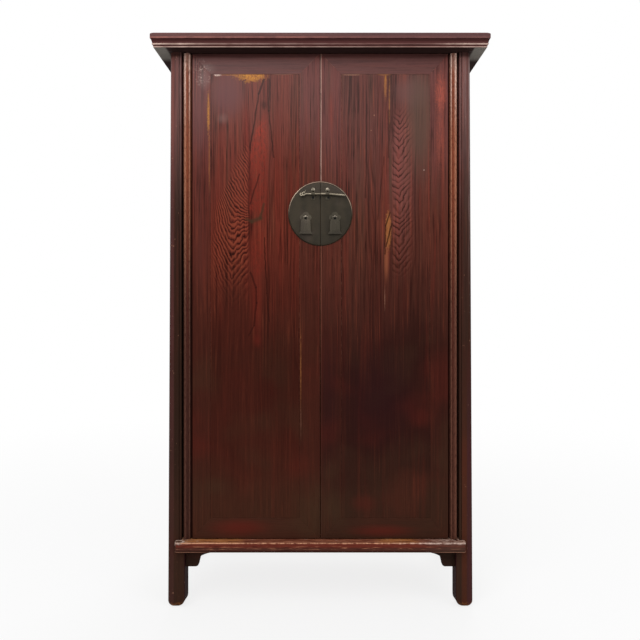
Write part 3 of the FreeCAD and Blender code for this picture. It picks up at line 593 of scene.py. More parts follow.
def legPaint(finish, colour, coat, relief, fibre):
    side, z = abs(finish.x), finish.z
    left = finish.x.fade(0.01, -0.01)
    right = 1 - left
    uneven = finish.cloud(0.2, 4.0).fade(0.3, 0.55) * 0.4 + 0.6
    facing = finish.y.fade(-0.212, -0.230)  # the front, not the sides
    stripe = side.fade(0.468, 0.474) * uneven * facing
    darker = side.fade(0.4725, 0.4680) * left * z.between(0.2, 0.5, 1.2, 1.45)
    redder = right * side.between(0.452, 0.458, 0.468, 0.474) * z.fade(0.85, 0.45) * uneven
    breakUp = finish.grain((200.0, 60.0, 14.0)).fade(0.38, 0.62)
    # rim, crest and bead: thin pale lines painted as highlights down the leg fronts
    rim = side.fade(0.4748, 0.4765) * right * z.fade(0.9, 1.5) * facing
    crest = side.between(0.4560, 0.4585, 0.4680, 0.4705) * right * z.fade(1.35, 1.75) * 0.6
    bead = side.between(0.4465, 0.448, 0.4535, 0.456) * z.fade(1.1, 1.7) * 0.6
    # the inner side of each leg painted dark violet, without coat, as shade
    inner = side.fade(0.4385, 0.4365)
    # painted shadow across the top of the legs, under the overhang
    shade = z.fade(1.7660, 1.7780)
    foot = (z + finish.sway(0.012, 0.03, 6.0)).fade(0.020, 0.003) * finish.cloud(0.006, 3.0).fade(0.42, 0.58)
    nick = finish.cloud(0.009, 12.0, 1.0).fade(0.75, 0.8)
    colour = finish.over(
        colour,
        (stripe * left * (z.fade(0.3, 0.9) * 0.25 + 0.2), "plum"),
        (stripe * right * z.fade(0.9, 0.5) * 0.4, tone(74, 36, 44)),
        # the left leg's outer stripe painted lighter near the top, as a highlight
        (stripe * left * z.fade(1.25, 1.6) * 0.5, tone(132, 78, 70)),
        (darker * 0.4, tone(32, 22, 15)),
        (redder * 0.6, tone(78, 38, 25)),
        ((rim + crest + bead).atMost(1.0) * (breakUp * 0.7 + 0.3) * 0.5, "ash"),
        (inner * 0.85, "violet"),
        (shade * 0.6, "paintedShade"),
        (foot * 0.55, "gold"),
        (nick * 0.5, "worn"))
    return colour, coat * (1 - shade) * (1 - inner), relief


def topPaint(finish, colour, coat, relief, fibre):
    x, z = finish.x, finish.z + finish.sway(0.02, 0.0009, 4.0)
    rim = (abs(x) - 0.535).atLeast(abs(finish.y) - 0.300).fade(-0.0105, -0.008)  # not the underside
    breakUp = finish.cloud(0.04, 7.0).fade(0.32, 0.6)
    ends = abs(x).fade(0.34, 0.46)
    left = x.fade(0.25, -0.25)
    # the right half of the top band painted darker, and the lip's broken pale line stronger on the left, partly wear
    # and partly painted highlight
    band = z.fade(1.8120, 1.8127)
    lip = z.between(1.8122, 1.8128, 1.8165, 1.8195)
    # the undercut slope painted dark as shade
    slope = z.between(1.7986, 1.7994, 1.8121, 1.8127)
    bead = z.between(1.7932, 1.7940, 1.7984, 1.7992)
    fillet = z.between(1.7856, 1.7864, 1.7893, 1.7900)
    # painted highlights on the bead and fillet, stronger at the ends and on the left
    lit = bead * (ends * 0.5 + left * 0.16 + 0.06) + fillet * (ends * 0.3 + left * 0.2 + 0.3)
    # the two grooves painted dark violet as shade
    recess = z.between(1.8094, 1.8102, 1.8119, 1.8125) * 0.7 + z.between(1.7892, 1.7898, 1.7932, 1.7938)
    # the underside painted dark as shade, with paler grey painted at its outer corners
    under = (1 - rim) * z.fade(1.7875, 1.7865)
    corner = under * abs(x).fade(0.484, 0.492) * finish.y.fade(-0.15, -0.20)
    colour = finish.over(
        colour,
        ((1 - left) * band * 0.5, tone(78, 50, 52)),
        (lip * (breakUp * 0.4 + 0.15) * (left * 0.7 + 0.3), tone(156, 98, 88)),
        (slope * rim * 0.8, finish.mix(z.fade(1.8060, 1.8010), tone(52, 27, 26), tone(80, 46, 45))),
        ((lit * (breakUp * 0.5 + 0.5) * rim).atMost(1.0), "pale"),
        ((recess * rim).atMost(1.0) * 0.95, "violet"),
        (under * 0.85, "paintedShade"),
        (corner * 0.7, tone(136, 132, 124)))
    return colour, coat * band, relief


def sillPaint(finish, colour, coat, relief, fibre):
    x, y, z = finish.x, finish.y, finish.z
    upper = z.fade(0.2167, 0.2176)
    front = y.fade(-0.2745, -0.2760)
    crack = finish.grain((22.0, 300.0, 300.0), 4.0, 0.65)
    grit = finish.cloud(0.007, 8.0)
    golden = ((x.fade(-0.23, -0.28) + x.between(0.16, 0.22, 0.28, 0.33)) * 0.8 + 0.06).atMost(1.0)
    topTone = finish.over(
        tone(92, 44, 33),
        (crack.fade(0.42, 0.58), tone(150, 92, 70)),
        (golden * crack.fade(0.36, 0.54) * 0.75, tone(184, 122, 66)),
        (crack.fade(0.6, 0.7) * grit.fade(0.4, 0.6) * 0.7, "pale"))
    uneven = z + (crack - 0.5) * 0.014
    streaks = crack.fade(0.54, 0.64) * z.between(0.1950, 0.1980, 0.2060, 0.2110)
    wander = (finish.noise(finish.point(x * 45.0, 4.0, 0.0), 2.0) - 0.5) * 0.006 * x.fade(-0.30, -0.20)
    # pale line along the front edge of the top: partly wear, partly painted highlight, broken in places
    edge = (z + wander).fade(0.2150, 0.2164) * (y - wander).fade(-0.2696, -0.2718) * y.fade(-0.2768, -0.2754)
    edgeGaps = finish.noise(finish.point(x * 70.0, 1.0, 0.0), 3.0, 0.65).fade(0.40, 0.6)
    lined = (edgeGaps * 0.75 + x.fade(-0.22, -0.28) * 0.45 + x.fade(0.12, 0.24) * 0.2 + 0.08).atMost(0.9)
    flake = finish.grain((75.0, 260.0, 260.0), 3.0, 0.6, 0.6).fade(0.42, 0.58)
    bared = (x.fade(-0.405, -0.435) * 0.5 + x.fade(0.29, 0.43)).atMost(1.0) * z.fade(0.2110, 0.2160)
    hollow = (((x + 0.452) / 0.014) ** 2.0 + ((y + 0.262) / 0.011) ** 2.0) ** 0.5 + (grit - 0.5) * 0.7
    ring = hollow.between(0.68, 0.86, 1.14, 1.36)  # paint lost round a dark hollow
    foot = z.fade(0.1908, 0.1898) * abs(x).fade(0.34, 0.40) * y.fade(-0.268, -0.274)
    colour = finish.over(
        colour,
        (upper * 0.92, topTone),
        (front * uneven.fade(0.1990, 0.2080) * 0.7, tone(104, 42, 32)),
        (front * uneven.fade(0.2050, 0.1970) * z.fade(0.1925, 0.1940) * 0.5, tone(84, 48, 40)),
        (front * streaks * 0.55, "tan"),
        (front * crack.fade(0.44, 0.34) * 0.6, "deep"),
        (front * z.between(0.1905, 0.1912, 0.1928, 0.1938) * 0.7, "deep"),
        (edge * lined, finish.mix(x.fade(0.2, 0.38), tone(204, 150, 118), lacquer["pale"])),
        (front * x.fade(0.28, 0.42) * 0.5, tone(66, 52, 44)),
        (bared * flake * 0.6, tone(206, 182, 168)),
        (bared * (1 - flake) * upper * 0.6, tone(64, 40, 32)),
        (hollow.fade(1.5, 1.1) * z.fade(0.2080, 0.2120) * 0.8, tone(50, 33, 27)),
        (ring * z.fade(0.2070, 0.2120) * (flake * 0.5 + 0.4), "pale"),
        (foot * 0.75, "worn"))
    return colour, coat, relief


doorTones = {"left": (tone(106, 53, 44), tone(94, 40, 30), tone(60, 26, 19)),
             "right": (tone(94, 52, 46), tone(82, 43, 34), tone(44, 21, 17))}
stileTones = {"left": (tone(98, 54, 50), tone(80, 38, 30), tone(60, 28, 21)),
              "right": (tone(98, 54, 50), tone(82, 42, 33), tone(50, 24, 19))}
railTones = {"left": (tone(90, 54, 51), tone(86, 42, 33), tone(64, 30, 23)),
             "right": (tone(90, 54, 51), tone(84, 42, 34), tone(52, 25, 20))}
legTones = (tone(92, 56, 52), tone(56, 36, 30), tone(50, 32, 25))
sideTones = (tone(96, 48, 40), tone(84, 40, 30), tone(62, 30, 23))
topTones = (tone(92, 58, 56),) * 3
bareLook = {"board": 0.172, "ring": 0.017, "light": tone(150, 108, 72), "dark": tone(124, 86, 56),
            "aged": tone(104, 76, 54), "vein": tone(92, 58, 36), "joint": tone(48, 32, 22)}
caseWood = {
    "legs": agedWood("legLacquer", "z", 1.0, legTones, 0.3, "worn", legPaint, 0.5),
    "topLong": agedWood("topRailLacquer", "x", 5.0, topTones, 0.22, None, topPaint, 0.5),
    "topCross": agedWood("topEndLacquer", "y", 6.0, topTones, 0.22, None, topPaint, 0.5),
    "topBoard": agedWood("topBoardLacquer", "x", 7.0, topTones, 0.22, None, None, 0.7),
    "sill": agedWood("sillLacquer", "x", 8.0, (tone(72, 40, 33),) * 3, 0.2, None, sillPaint, 0.6),
    "apron": agedWood("apronLacquer", "x", 9.0, (tone(36, 24, 20),) * 3, 0.2, None, None, 0.5),
    "sides": agedWood("sideLacquer", "z", 12.0, sideTones, 0.3, "worn"),
    "sideLow": agedWood("sideRailLacquer", "y", 13.0, (tone(64, 36, 29),) * 3, 0.3, "worn", None, 0.6),
    "insideX": bareElm("bareElmAcross", "x", 21.0, bareLook),
    "insideY": bareElm("bareElmDeep", "y", 22.0, bareLook),
}
doorMembers = (("panel", "z", 31.0, doorTones, 1.0), ("stile", "z", 37.0, stileTones, 0.75),
               ("rail", "x", 41.0, railTones, 0.3))
for side, shift in (("left", 0.0), ("right", 13.0)):  # each door has its own grain
    for member, along, seed, tones, figure in doorMembers:
        caseWood[side + member] = agedWood(side + "Door" + member.capitalize(), along, seed + shift, tones[side], 0.36,
                                           "worn", doorPaint(side, member), figure, 31.0 + shift)
print("wood finishes:", len(caseWood))


# old bronze: olive-brown face plates, paler where hands and the pin rub
# the near-black hole tone (8, 7, 6) is painted shade in holes, slots and on the pulls' lower lips
tarnish = {"plate": (tone(49, 42, 31), tone(37, 32, 23)), "pull": (tone(68, 62, 50), tone(50, 45, 36)),
           "rim": (tone(176, 154, 134), tone(128, 110, 95)), "pin": (tone(154, 143, 124), tone(96, 87, 73)),
           "bright": tone(190, 178, 160), "hole": tone(8, 7, 6), "purple": tone(62, 50, 48),
           "verdigris": tone(58, 60, 44)}
pinHole = {"left": -0.0236, "right": 0.0262, "z": 1.3188}


def agedBronze(name, look, rough, marking=None, metal=0.75):
    finish = Finish(name, tarnish)
    light, dark = tarnish[look]
    blotch = finish.cloud(0.03, 2.0, 4.0)
    band = finish.grain((34.0, 34.0, 6.0), 2.0)
    fine = finish.cloud(0.0025, 7.0)
    colour = finish.over(
        dark,
        ((blotch * 0.45 + band * 0.55).fade(0.34, 0.66), light),
        (finish.cloud(0.045, 9.0).fade(0.52, 0.7) * 0.25, "purple"),
        (fine.fade(0.6, 0.75) * 0.25, "verdigris"))
    # the given function adds marks: wear, and on some pieces painted highlights and painted shade
    if marking:
        colour = marking(finish, colour, fine)
    return finish.surface({"Metallic": metal}, Base_Color=colour, Roughness=rough + (fine - 0.5) * 0.25,
                          bump=(blotch * 0.7 + fine * 0.3, 0.25, 0.0005))


def fromHole(finish):  # distance from the nearer pin hole
    left, right = pinHole["left"], pinHole["right"]
    offX = finish.x - finish.x.fade(-0.01, 0.01) * (right - left) - left
    return (offX ** 2.0 + (finish.z - pinHole["z"]) ** 2.0) ** 0.5


def plateScratchAndShade(finish, colour, fine):  # scratched and paler above the pin; dark spots round the two pin holes painted as shade
    above = (finish.z + finish.x * 0.05).fade(1.3290, 1.3340)
    scratch = finish.noise(finish.point(finish.x * 230.0, 1.0, finish.z * 420.0), 3.0, 0.7)
    return finish.over(
        colour,
        (above * (scratch.fade(0.35, 0.65) * 0.5 + 0.2), tone(58, 50, 43)),
        (above * scratch.fade(0.60, 0.72) * 0.15, "bright"),
        (fromHole(finish).fade(0.0072, 0.0052) * 0.8, "hole"))


def rimPaintedShade(finish, colour, fine):  # the rim stays bright on its upper flanks; its crown is painted duller and its lower part painted dark, as shade
    below = (finish.z + finish.sway(0.02, 0.03, 3.0)).fade(1.32, 1.25)
    return finish.over(
        colour,
        (abs(finish.x).fade(0.055, 0.020) * 0.5, tone(112, 82, 72)),
        (below, tarnish["plate"][1]))


def eyeHighlightAndShade(finish, colour, fine):  # crown of the eye painted bright, partly wear and partly painted highlight, brighter on the left; the hollow under it painted dark as shade
    across, z = abs(abs(finish.x) - 0.047), finish.z
    eye = across.fade(0.0036, 0.0030) * finish.y.fade(-0.2496, -0.2502)
    return finish.over(
        colour,
        (eye * z.fade(1.2572, 1.2582) * finish.x.fade(0.15, -0.05), "bright"),
        (eye * z.fade(1.2580, 1.2568) * 0.85, "hole"))


def pullHighlightAndShade(finish, colour, fine):  # crown painted bright, partly wear and partly painted highlight; slot and lower lip painted dark as shade
    across, z = abs(abs(finish.x) - 0.047), finish.z
    return finish.over(
        colour,
        (z.fade(1.2552, 1.2566) * across.fade(0.0085, 0.0060) * 0.35, "bright"),
        (across.fade(0.0046, 0.0034) * z.between(1.2468, 1.2486, 1.2542, 1.2552) * 0.85, "hole"),
        (z.between(1.2030, 1.2045, 1.2064, 1.2078) * 0.3, "hole"))


def stapleHighlightAndShade(finish, colour, fine):  # crest painted bright as a highlight; pin hole low on each lock staple painted dark as shade
    crest = finish.z.fade(1.3408, 1.3452) * fine.fade(0.35, 0.55)
    return finish.over(colour, (crest * 0.55, "bright"), (fromHole(finish).fade(0.0044, 0.0036), "hole"))


bronze = {
    "plate": agedBronze("agedPlate", "plate", 0.55, plateScratchAndShade),
    "rim": agedBronze("rubbedRim", "rim", 0.32, rimPaintedShade, 0.95),
    "staple": agedBronze("agedStaple", "pull", 0.5, stapleHighlightAndShade),
    "eye": agedBronze("agedEye", "pull", 0.45, eyeHighlightAndShade),
    "pull": agedBronze("agedPull", "pull", 0.5, pullHighlightAndShade),
    "pin": agedBronze("rubbedPin", "pin", 0.38),
}
print("metal finishes:", len(bronze))


# distances in metres, angles in degrees
meshCare = {"merge": 2e-5, "flat": 0.8, "sharp": 28.0, "crease": 50.0, "sliver": 1e-5, "weld": 1e-6, "cut": 1e-7}


def copied(name, width, steps=2):  # merged copy of a node, its long edges rounded and marked as worn
    work = bmesh.new()
    work.from_mesh(nodes[name].data)
    bmesh.ops.remove_doubles(work, verts=work.verts, dist=meshCare["merge"])
    bmesh.ops.dissolve_limit(work, angle_limit=math.radians(meshCare["flat"]), verts=work.verts, edges=work.edges)
    worn = work.faces.layers.float.new("worn")
    edges = [edge for edge in work.edges if len(edge.link_faces) == 2 and edge.calc_length() > 3 * width
             and edge.calc_face_angle() > math.radians(meshCare["sharp"])]
    made = bmesh.ops.bevel(work, geom=edges, offset=width, segments=steps, profile=0.5, affect="EDGES",
                           clamp_overlap=True, loop_slide=True)
    for face in made["faces"]:
        face[worn] = 1.0
    return work


def cleaned(work):  # no slivers left by rounding and cutting, all faces outwards
    bmesh.ops.triangulate(work, faces=[face for face in work.faces if len(face.verts) > 4])
    bmesh.ops.dissolve_degenerate(work, dist=meshCare["sliver"], edges=work.edges)
    bmesh.ops.remove_doubles(work, verts=work.verts, dist=meshCare["weld"])
    while folds := [vert for vert in work.verts if len(vert.link_edges) == 2]:  # two faces back to back
        bmesh.ops.weld_verts(work, targetmap={folds[0]: folds[0].link_edges[0].other_vert(folds[0])})
    loose = [face for face in work.faces if all(len(edge.link_faces) != 2 for edge in face.edges)]
    bmesh.ops.delete(work, geom=loose, context="FACES")
    bmesh.ops.recalc_face_normals(work, faces=work.faces)


def asPiece(name, works, finish, body, slot, *replaced):
    whole = bmesh.new()
    for work in works:
        cleaned(work)
        part = bpy.data.meshes.new("part")
        work.to_mesh(part)
        work.free()
        whole.from_mesh(part)
        bpy.data.meshes.remove(part)
    for face in whole.faces:
        face.smooth = True
    mesh = bpy.data.meshes.new(name)
    whole.to_mesh(mesh)
    whole.free()
    mesh.set_sharp_from_angle(angle=math.radians(meshCare["crease"]))
    mesh.materials.append(finish)
    piece = bpy.data.objects.new(name, mesh)
    scene.collection.objects.link(piece)
    even = piece.modifiers.new("evenShading", "WEIGHTED_NORMAL")
    even.keep_sharp = True
    return fasten(piece, body, slot, *replaced)


def fasten(piece, body, slot, *replaced):
    if replaced:
        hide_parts(*replaced)
    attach(piece, body)
    return piece


def sliced(work, axis, places):  # cuts a mesh into strips so that it can be bent
    normal = Vector((1, 0, 0)) if axis == "x" else Vector((0, 0, 1))
    for place in places:
        bmesh.ops.bisect_plane(work, geom=work.verts[:] + work.edges[:] + work.faces[:], plane_co=normal * place,
                               plane_no=normal, dist=meshCare["cut"])


def limited(value):
    return min(1.0, max(0.0, value))


wornFeet = {"height": 0.034, "bite": 0.70, "back": 0.2, "depth": (0.191, 0.232), "outer": 0.493, "keep": 0.014,
            "cheek": 0.12, "middle": 0.22,
            "cuts": (0.0006, 0.0015, 0.0028, 0.0045, 0.0065, 0.009, 0.012, 0.0155, 0.0195, 0.024, 0.028)}


def wearFoot(work, look):  # a foot worn round, most of all on its inner side
    sliced(work, "z", look["cuts"])
    for vert in work.verts:
        if vert.co.z < look["height"]:
            low = 1 - vert.co.z / look["height"]
            bend = 1 - math.sqrt(max(0.0, 1 - low * low))
            side, front = math.copysign(1.0, vert.co.x), math.copysign(1.0, vert.co.y)
            inward, outward = look["depth"]
            toFace = limited((abs(vert.co.y) - inward) / (outward - inward))
            bite = look["bite"] * (look["back"] + (1 - look["back"]) * toFace)  # strongest on the outer face
            spare = max(0.0, look["outer"] - abs(vert.co.x) - look["keep"])
            vert.co.x += side * spare * bite * bend
            vert.co.y = front * (look["middle"] + (abs(vert.co.y) - look["middle"]) * (1 - look["cheek"] * bend))


wornTop = {"edge": 0.535, "reach": 0.014, "low": 1.8225, "high": 1.830, "drop": 0.004,
           "cuts": (0.0006, 0.0015, 0.003, 0.005, 0.0075, 0.0105, 0.014)}


def wearTop(work, look):  # the top edge rounded over at both ends
    sliced(work, "x", [side * (look["edge"] - cut) for cut in look["cuts"] for side in (-1, 1)])
    for vert in work.verts:
        near = max(0.0, 1 - (look["edge"] - abs(vert.co.x)) / look["reach"])
        up = max(0.0, (vert.co.z - look["low"]) / (look["high"] - look["low"]))
        vert.co.z -= look["drop"] * (1 - math.sqrt(max(0.0, 1 - near * near))) * up


woodPlan = {
    "legs": (["left_front_leg", "right_front_leg", "left_back_leg", "right_back_leg"], 0.0012),
    "topLong": (["top_front_rail", "top_back_rail"], 0.0006),
    "topCross": (["top_left_rail", "top_right_rail"], 0.0006),
    "topBoard": (["top_panel"], 0.0008),
    "sill": (["front_sill"], 0.0012),
    "apron": (["front_apron"], 0.0012),
    "sideLow": (["left_apron", "right_apron", "left_bottom_rail", "right_bottom_rail"], 0.0012),
    "sides": (["left_side_panel", "right_side_panel"], 0.001),
    "insideX": (["top_left_batten", "top_right_batten", "back_bottom_rail", "back_middle_rail", "lower_back_panel",
                 "upper_back_panel", "floor_panel", "lower_shelf", "upper_shelf", "left_door_battens",
                 "right_door_battens"], 0.001),
    "insideY": (["left_side_battens", "right_side_battens", "floor_battens", "lower_shelf_bearers",
                 "upper_shelf_bearers"], 0.001),
}
for side in ("left", "right"):
    woodPlan[side + "panel"] = ([side + "_door_panel"], 0.0005)
    woodPlan[side + "stile"] = ([side + "_door_hinge_stile", side + "_door_meeting_stile"], 0.0007)
    woodPlan[side + "rail"] = ([side + "_door_top_rail", side + "_door_bottom_rail"], 0.0005)
for finishName, (names, width) in woodPlan.items():
    slotName = "bare_elm" if finishName.startswith("inside") else "lacquered_elm"
    for name in names:
        work = copied(name, width)
        if finishName == "legs":
            wearFoot(work, wornFeet)
        if finishName in ("topLong", "topCross"):
            wearTop(work, wornTop)
        asPiece(name + "_wood", [work], caseWood[finishName], bodyOf[name], slotName, name)
print("wooden pieces:", sum(len(names) for names, _ in woodPlan.values()))


def turned(profile, axis, place, steps=48):  # a profile of (reach, along) swung round an axis through a place
    work = bmesh.new()
    line = []
    for reach, along in profile:
        spot = (along, place[1], place[2] + reach) if axis == "x" else (place[0], along, place[2] + reach)
        line.append(work.verts.new(spot))
    edges = [work.edges.new(pair) for pair in zip(line, line[1:])]
    turn = Vector((1, 0, 0)) if axis == "x" else Vector((0, 1, 0))
    bmesh.ops.spin(work, geom=line + edges, cent=place, axis=turn, angle=2 * math.pi, steps=steps, use_merge=True)
    bmesh.ops.remove_doubles(work, verts=work.verts, dist=meshCare["weld"])
    bmesh.ops.recalc_face_normals(work, faces=work.faces)
    return work


# rods and rims: a round section swept along a path, thicker or thinner by its girth
sweptRod = Shape("sweptRod", {"Radius": "Float", "Sides": "Int"})
path = sweptRod.node("GeometryNodeMeshToCurve", None, {0: sweptRod.given["Geometry"]})
ring = sweptRod.node("GeometryNodeCurvePrimitiveCircle", None, {"Resolution": sweptRod.given["Sides"],
                                                               "Radius": sweptRod.given["Radius"]})
girth = sweptRod.node("GeometryNodeInputNamedAttribute", {"data_type": "FLOAT"}, {"Name": "girth"})
rod = sweptRod.node("GeometryNodeCurveToMesh", None, {"Curve": path, "Profile Curve": ring, "Scale": girth,
                                                     "Fill Caps": True})
sweptRod.close(sweptRod.node("GeometryNodeSetShadeSmooth", None, {0: rod}))


def pathMesh(name, runs):  # loose runs of points, each point with its girth
    points, edges, girths = [], [], []
    for run in runs:
        edges += [(len(points) + step, len(points) + step + 1) for step in range(len(run) - 1)]
        points += [spot[:3] for spot in run]
        girths += [spot[3] for spot in run]
    mesh = bpy.data.meshes.new(name)
    mesh.from_pydata(points, edges, [])
    mesh.attributes.new("girth", "FLOAT", "POINT").data.foreach_set("value", girths)
    return mesh


# face plate: two halves of one disc with a hollow inside a raised rim
plateLook = {"height": 1.268, "front": -0.2445, "gap": 0.0007, "steps": 120,
             "rimReach": 0.1017, "rimRadius": 0.0014, "rimSink": 0.0004, "rimSteps": 96, "rimSides": 14,
             "profile": ((0.0, 0.0), (0.03, 0.0), (0.06, 0.0), (0.092, 0.0), (0.0965, 0.0004), (0.0985, 0.0006),
                         (0.1030, 0.0006), (0.1038, 0.0011), (0.1040, 0.0016), (0.1040, 0.0023), (0.1037, 0.0025),
                         (0.06, 0.0025), (0.0, 0.0025))}


def facePlate(side, look):
    sign, height, reach, steps = signs[side], look["height"], look["rimReach"], look["rimSteps"]
    profile = [(out, look["front"] + back) for out, back in look["profile"]]
    disc = turned(profile, "y", (0.0, 0.0, height), look["steps"])
    bmesh.ops.bisect_plane(disc, geom=disc.verts[:] + disc.edges[:] + disc.faces[:],
                           plane_co=(sign * look["gap"], 0, 0), plane_no=(-sign, 0, 0), clear_outer=True)
    bmesh.ops.holes_fill(disc, edges=[edge for edge in disc.edges if edge.is_boundary], sides=0)
    bmesh.ops.recalc_face_normals(disc, faces=disc.faces)
    asPiece(side + "_plate", [disc], bronze["plate"], side + "_door", "dark_bronze", side + "_door_face_plate")
    slip = math.asin(look["gap"] / reach)
    arc = []
    for step in range(steps + 1):
        angle = slip + (math.pi - 2 * slip) * step / steps
        arc.append((sign * reach * math.sin(angle), look["front"] + look["rimSink"],
                    height + reach * math.cos(angle), 1.0))
    rim = sweptRod.grow(side + "_plate_rim", pathMesh("rimPath", [arc]),
                        {"Radius": look["rimRadius"], "Sides": look["rimSides"], "Finish": bronze["rim"]})
    fasten(rim, side + "_door", "polished_bronze")


for side in ("left", "right"):
    facePlate(side, plateLook)

# lock: a staple on each door, a scrolled pin on the left, a closed barrel on the right
lockLook = {"y": -0.2525, "z": 1.3305, "plate": -0.2445, "leaf": 0.0019, "rounding": 0.0004,
            "lobe": (0.023, 1.3454), "lobeSteps": 28, "eyeletSteps": 24,
            "lobeProfile": ((0.0, -0.0004), (0.0040, -0.0003), (0.0052, 0.0002), (0.0056, 0.0008)),
            "eyeletProfile": ((0.0, 0.0002), (0.0036, 0.0002), (0.0040, -0.0004), (0.0045, -0.0006), (0.0050, -0.0003),
                              (0.0052, 0.0006))}


def boss(profile, x, z, steps, look):  # small turned form on the leaf of a staple
    front, back = look["plate"] - look["leaf"], look["plate"]
    line = [(reach, front + along) for reach, along in profile] + [(profile[-1][0], back), (0.0, back)]
    return turned(line, "y", (x, 0.0, z), steps)


def lockStaple(side, look):
    leaf = copied("left_lock_staple", look["rounding"])
    if side == "right":
        for vert in leaf.verts:
            vert.co.x = -vert.co.x
        bmesh.ops.recalc_face_normals(leaf, faces=leaf.faces)
    lobeX, lobeZ = look["lobe"]
    lobe = boss(look["lobeProfile"], signs[side] * lobeX, lobeZ, look["lobeSteps"], look)
    return [leaf, lobe, boss(look["eyeletProfile"], pinHole[side], pinHole["z"], look["eyeletSteps"], look)]


for side, node in (("left", "left_lock_staple"), ("right", "right_lock_keeper")):
    asPiece(side + "_staple", lockStaple(side, lockLook), bronze["staple"], side + "_door", "dark_bronze", node)
# barrel: (reach, along), first the bore and then the outside
barrelLook = {"steps": 24, "hangFrom": 0.026, "hang": 0.085,
              "bore": ((0.0, 0.0290), (0.0026, 0.0290), (0.0026, 0.0011)),
              "outer": ((0.0032, 0.0009), (0.0036, 0.0014), (0.0037, 0.0030), (0.0033, 0.0046), (0.0033, 0.0150),
                        (0.0033, 0.0300), (0.0032, 0.0400), (0.0032, 0.0500), (0.0031, 0.0600), (0.0031, 0.0690),
                        (0.0035, 0.0705), (0.0036, 0.0720), (0.0033, 0.0734), (0.0030, 0.0762), (0.0023, 0.0790),
                        (0.0013, 0.0806), (0.0, 0.0812))}


def keeperBarrel(look, y, z):
    work = turned(look["bore"] + look["outer"], "x", (0.0, y, z), look["steps"])
    for vert in work.verts:
        vert.co.z -= max(0.0, vert.co.x - look["hangFrom"]) * look["hang"]  # the free end hangs a little
    return work


asPiece("keeper_barrel", [keeperBarrel(barrelLook, lockLook["y"], lockLook["z"])], bronze["pin"], "right_door",
        "polished_bronze")
# pin: a rod that ends in a ring, a curl beside it, a small horn given as part of the way up and girth
pinLook = {"radius": 0.00225, "sides": 16, "tip": -0.0008, "ring": 0.0046, "steps": (12, 32, 48),
           "second": (-0.0534, 1.3305), "first": (-0.0610, 1.3291),
           "curlFrom": 30, "curlTurn": 430, "curlIn": 0.42, "curlThin": 0.25,
           "hornFoot": 0.002, "hornOut": 0.006, "hornUp": 0.0075, "hornBend": 0.85,
           "horn": ((0.0, 0.75), (0.25, 0.7), (0.5, 0.62), (0.75, 0.56), (0.88, 0.66), (0.95, 0.62), (1.0, 0.4),
                    (1.03, 0.1))}


def pinRuns(look, y, z):
    ring, tip = look["ring"], look["tip"]
    midX, midZ = look["second"]
    farX, farZ = look["first"]
    rodSteps, ringSteps, curlSteps = look["steps"]
    rod = [(tip + (midX + ring - tip) * step / rodSteps, y, z, 1.0) for step in range(rodSteps + 1)]
    for step in range(1, ringSteps + 1):
        angle = 2 * math.pi * step / ringSteps
        rod.append((midX + ring * math.cos(angle), y, midZ + ring * math.sin(angle), 1.0))
    curl = []
    for step in range(curlSteps + 1):
        angle = math.radians(look["curlFrom"] - look["curlTurn"] * step / curlSteps)
        reach = ring * (1 - look["curlIn"] * step / curlSteps)
        girth = 1.0 - look["curlThin"] * step / curlSteps
        curl.append((farX + reach * math.cos(angle), y, farZ + reach * math.sin(angle), girth))
    horn = []
    for part, girth in look["horn"]:
        rise = look["hornUp"] * part ** look["hornBend"]
        horn.append((midX + look["hornFoot"] + look["hornOut"] * part, y, midZ + ring + rise, girth))
    return [rod, curl, horn]


pin = sweptRod.grow("scroll_pin", pathMesh("pinPath", pinRuns(pinLook, lockLook["y"], lockLook["z"])),
                    {"Radius": pinLook["radius"], "Sides": pinLook["sides"], "Finish": bronze["pin"]})
fasten(pin, "lock_pin", "polished_bronze", "lock_pin")

# pulls: bell-shaped tags, crowned and faintly reeded, on eyes with cloud-shaped feet
pullLook = {"x": 0.047, "front": -0.2534, "low": 1.2065, "high": 1.2500, "lowFade": 0.004, "highFade": 0.010,
            "half": 0.0168, "crown": 0.0008, "reed": 0.00022, "reedStep": 0.0110,
            "rounding": 0.0006, "roundSteps": 3, "eyeRounding": 0.0004,
            "columns": 8, "columnStep": 0.0022, "rows": 14, "rowStep": 0.0036, "firstRow": -0.002}


def pullTag(side, look):
    middle, low, high = signs[side] * look["x"], look["low"], look["high"]
    work = copied(side + "_pull", look["rounding"], look["roundSteps"])
    sliced(work, "x", [middle + look["columnStep"] * step for step in range(-look["columns"], look["columns"] + 1)])
    sliced(work, "z", [low + look["firstRow"] + look["rowStep"] * step for step in range(look["rows"])])
    for vert in work.verts:
        if vert.co.y < look["front"]:
            across = (vert.co.x - middle) / look["half"]
            rise = limited((vert.co.z - low) / look["lowFade"]) * limited((high - vert.co.z) / look["highFade"])
            crown = look["crown"] * max(0.0, 1 - across * across)
            reed = look["reed"] * math.cos(2 * math.pi * across * look["half"] / look["reedStep"])
            vert.co.y -= rise * (crown + reed * max(0.0, 1 - across ** 4))
    return work


for side in ("left", "right"):
    asPiece(side + "_pull_tag", [pullTag(side, pullLook)], bronze["pull"], side + "_pull", "dark_bronze",
            side + "_pull")
    asPiece(side + "_pull_eye", [copied(side + "_pull_staple", pullLook["eyeRounding"])], bronze["eye"], side + "_door",
            "dark_bronze", side + "_pull_staple")
print("metal pieces made")

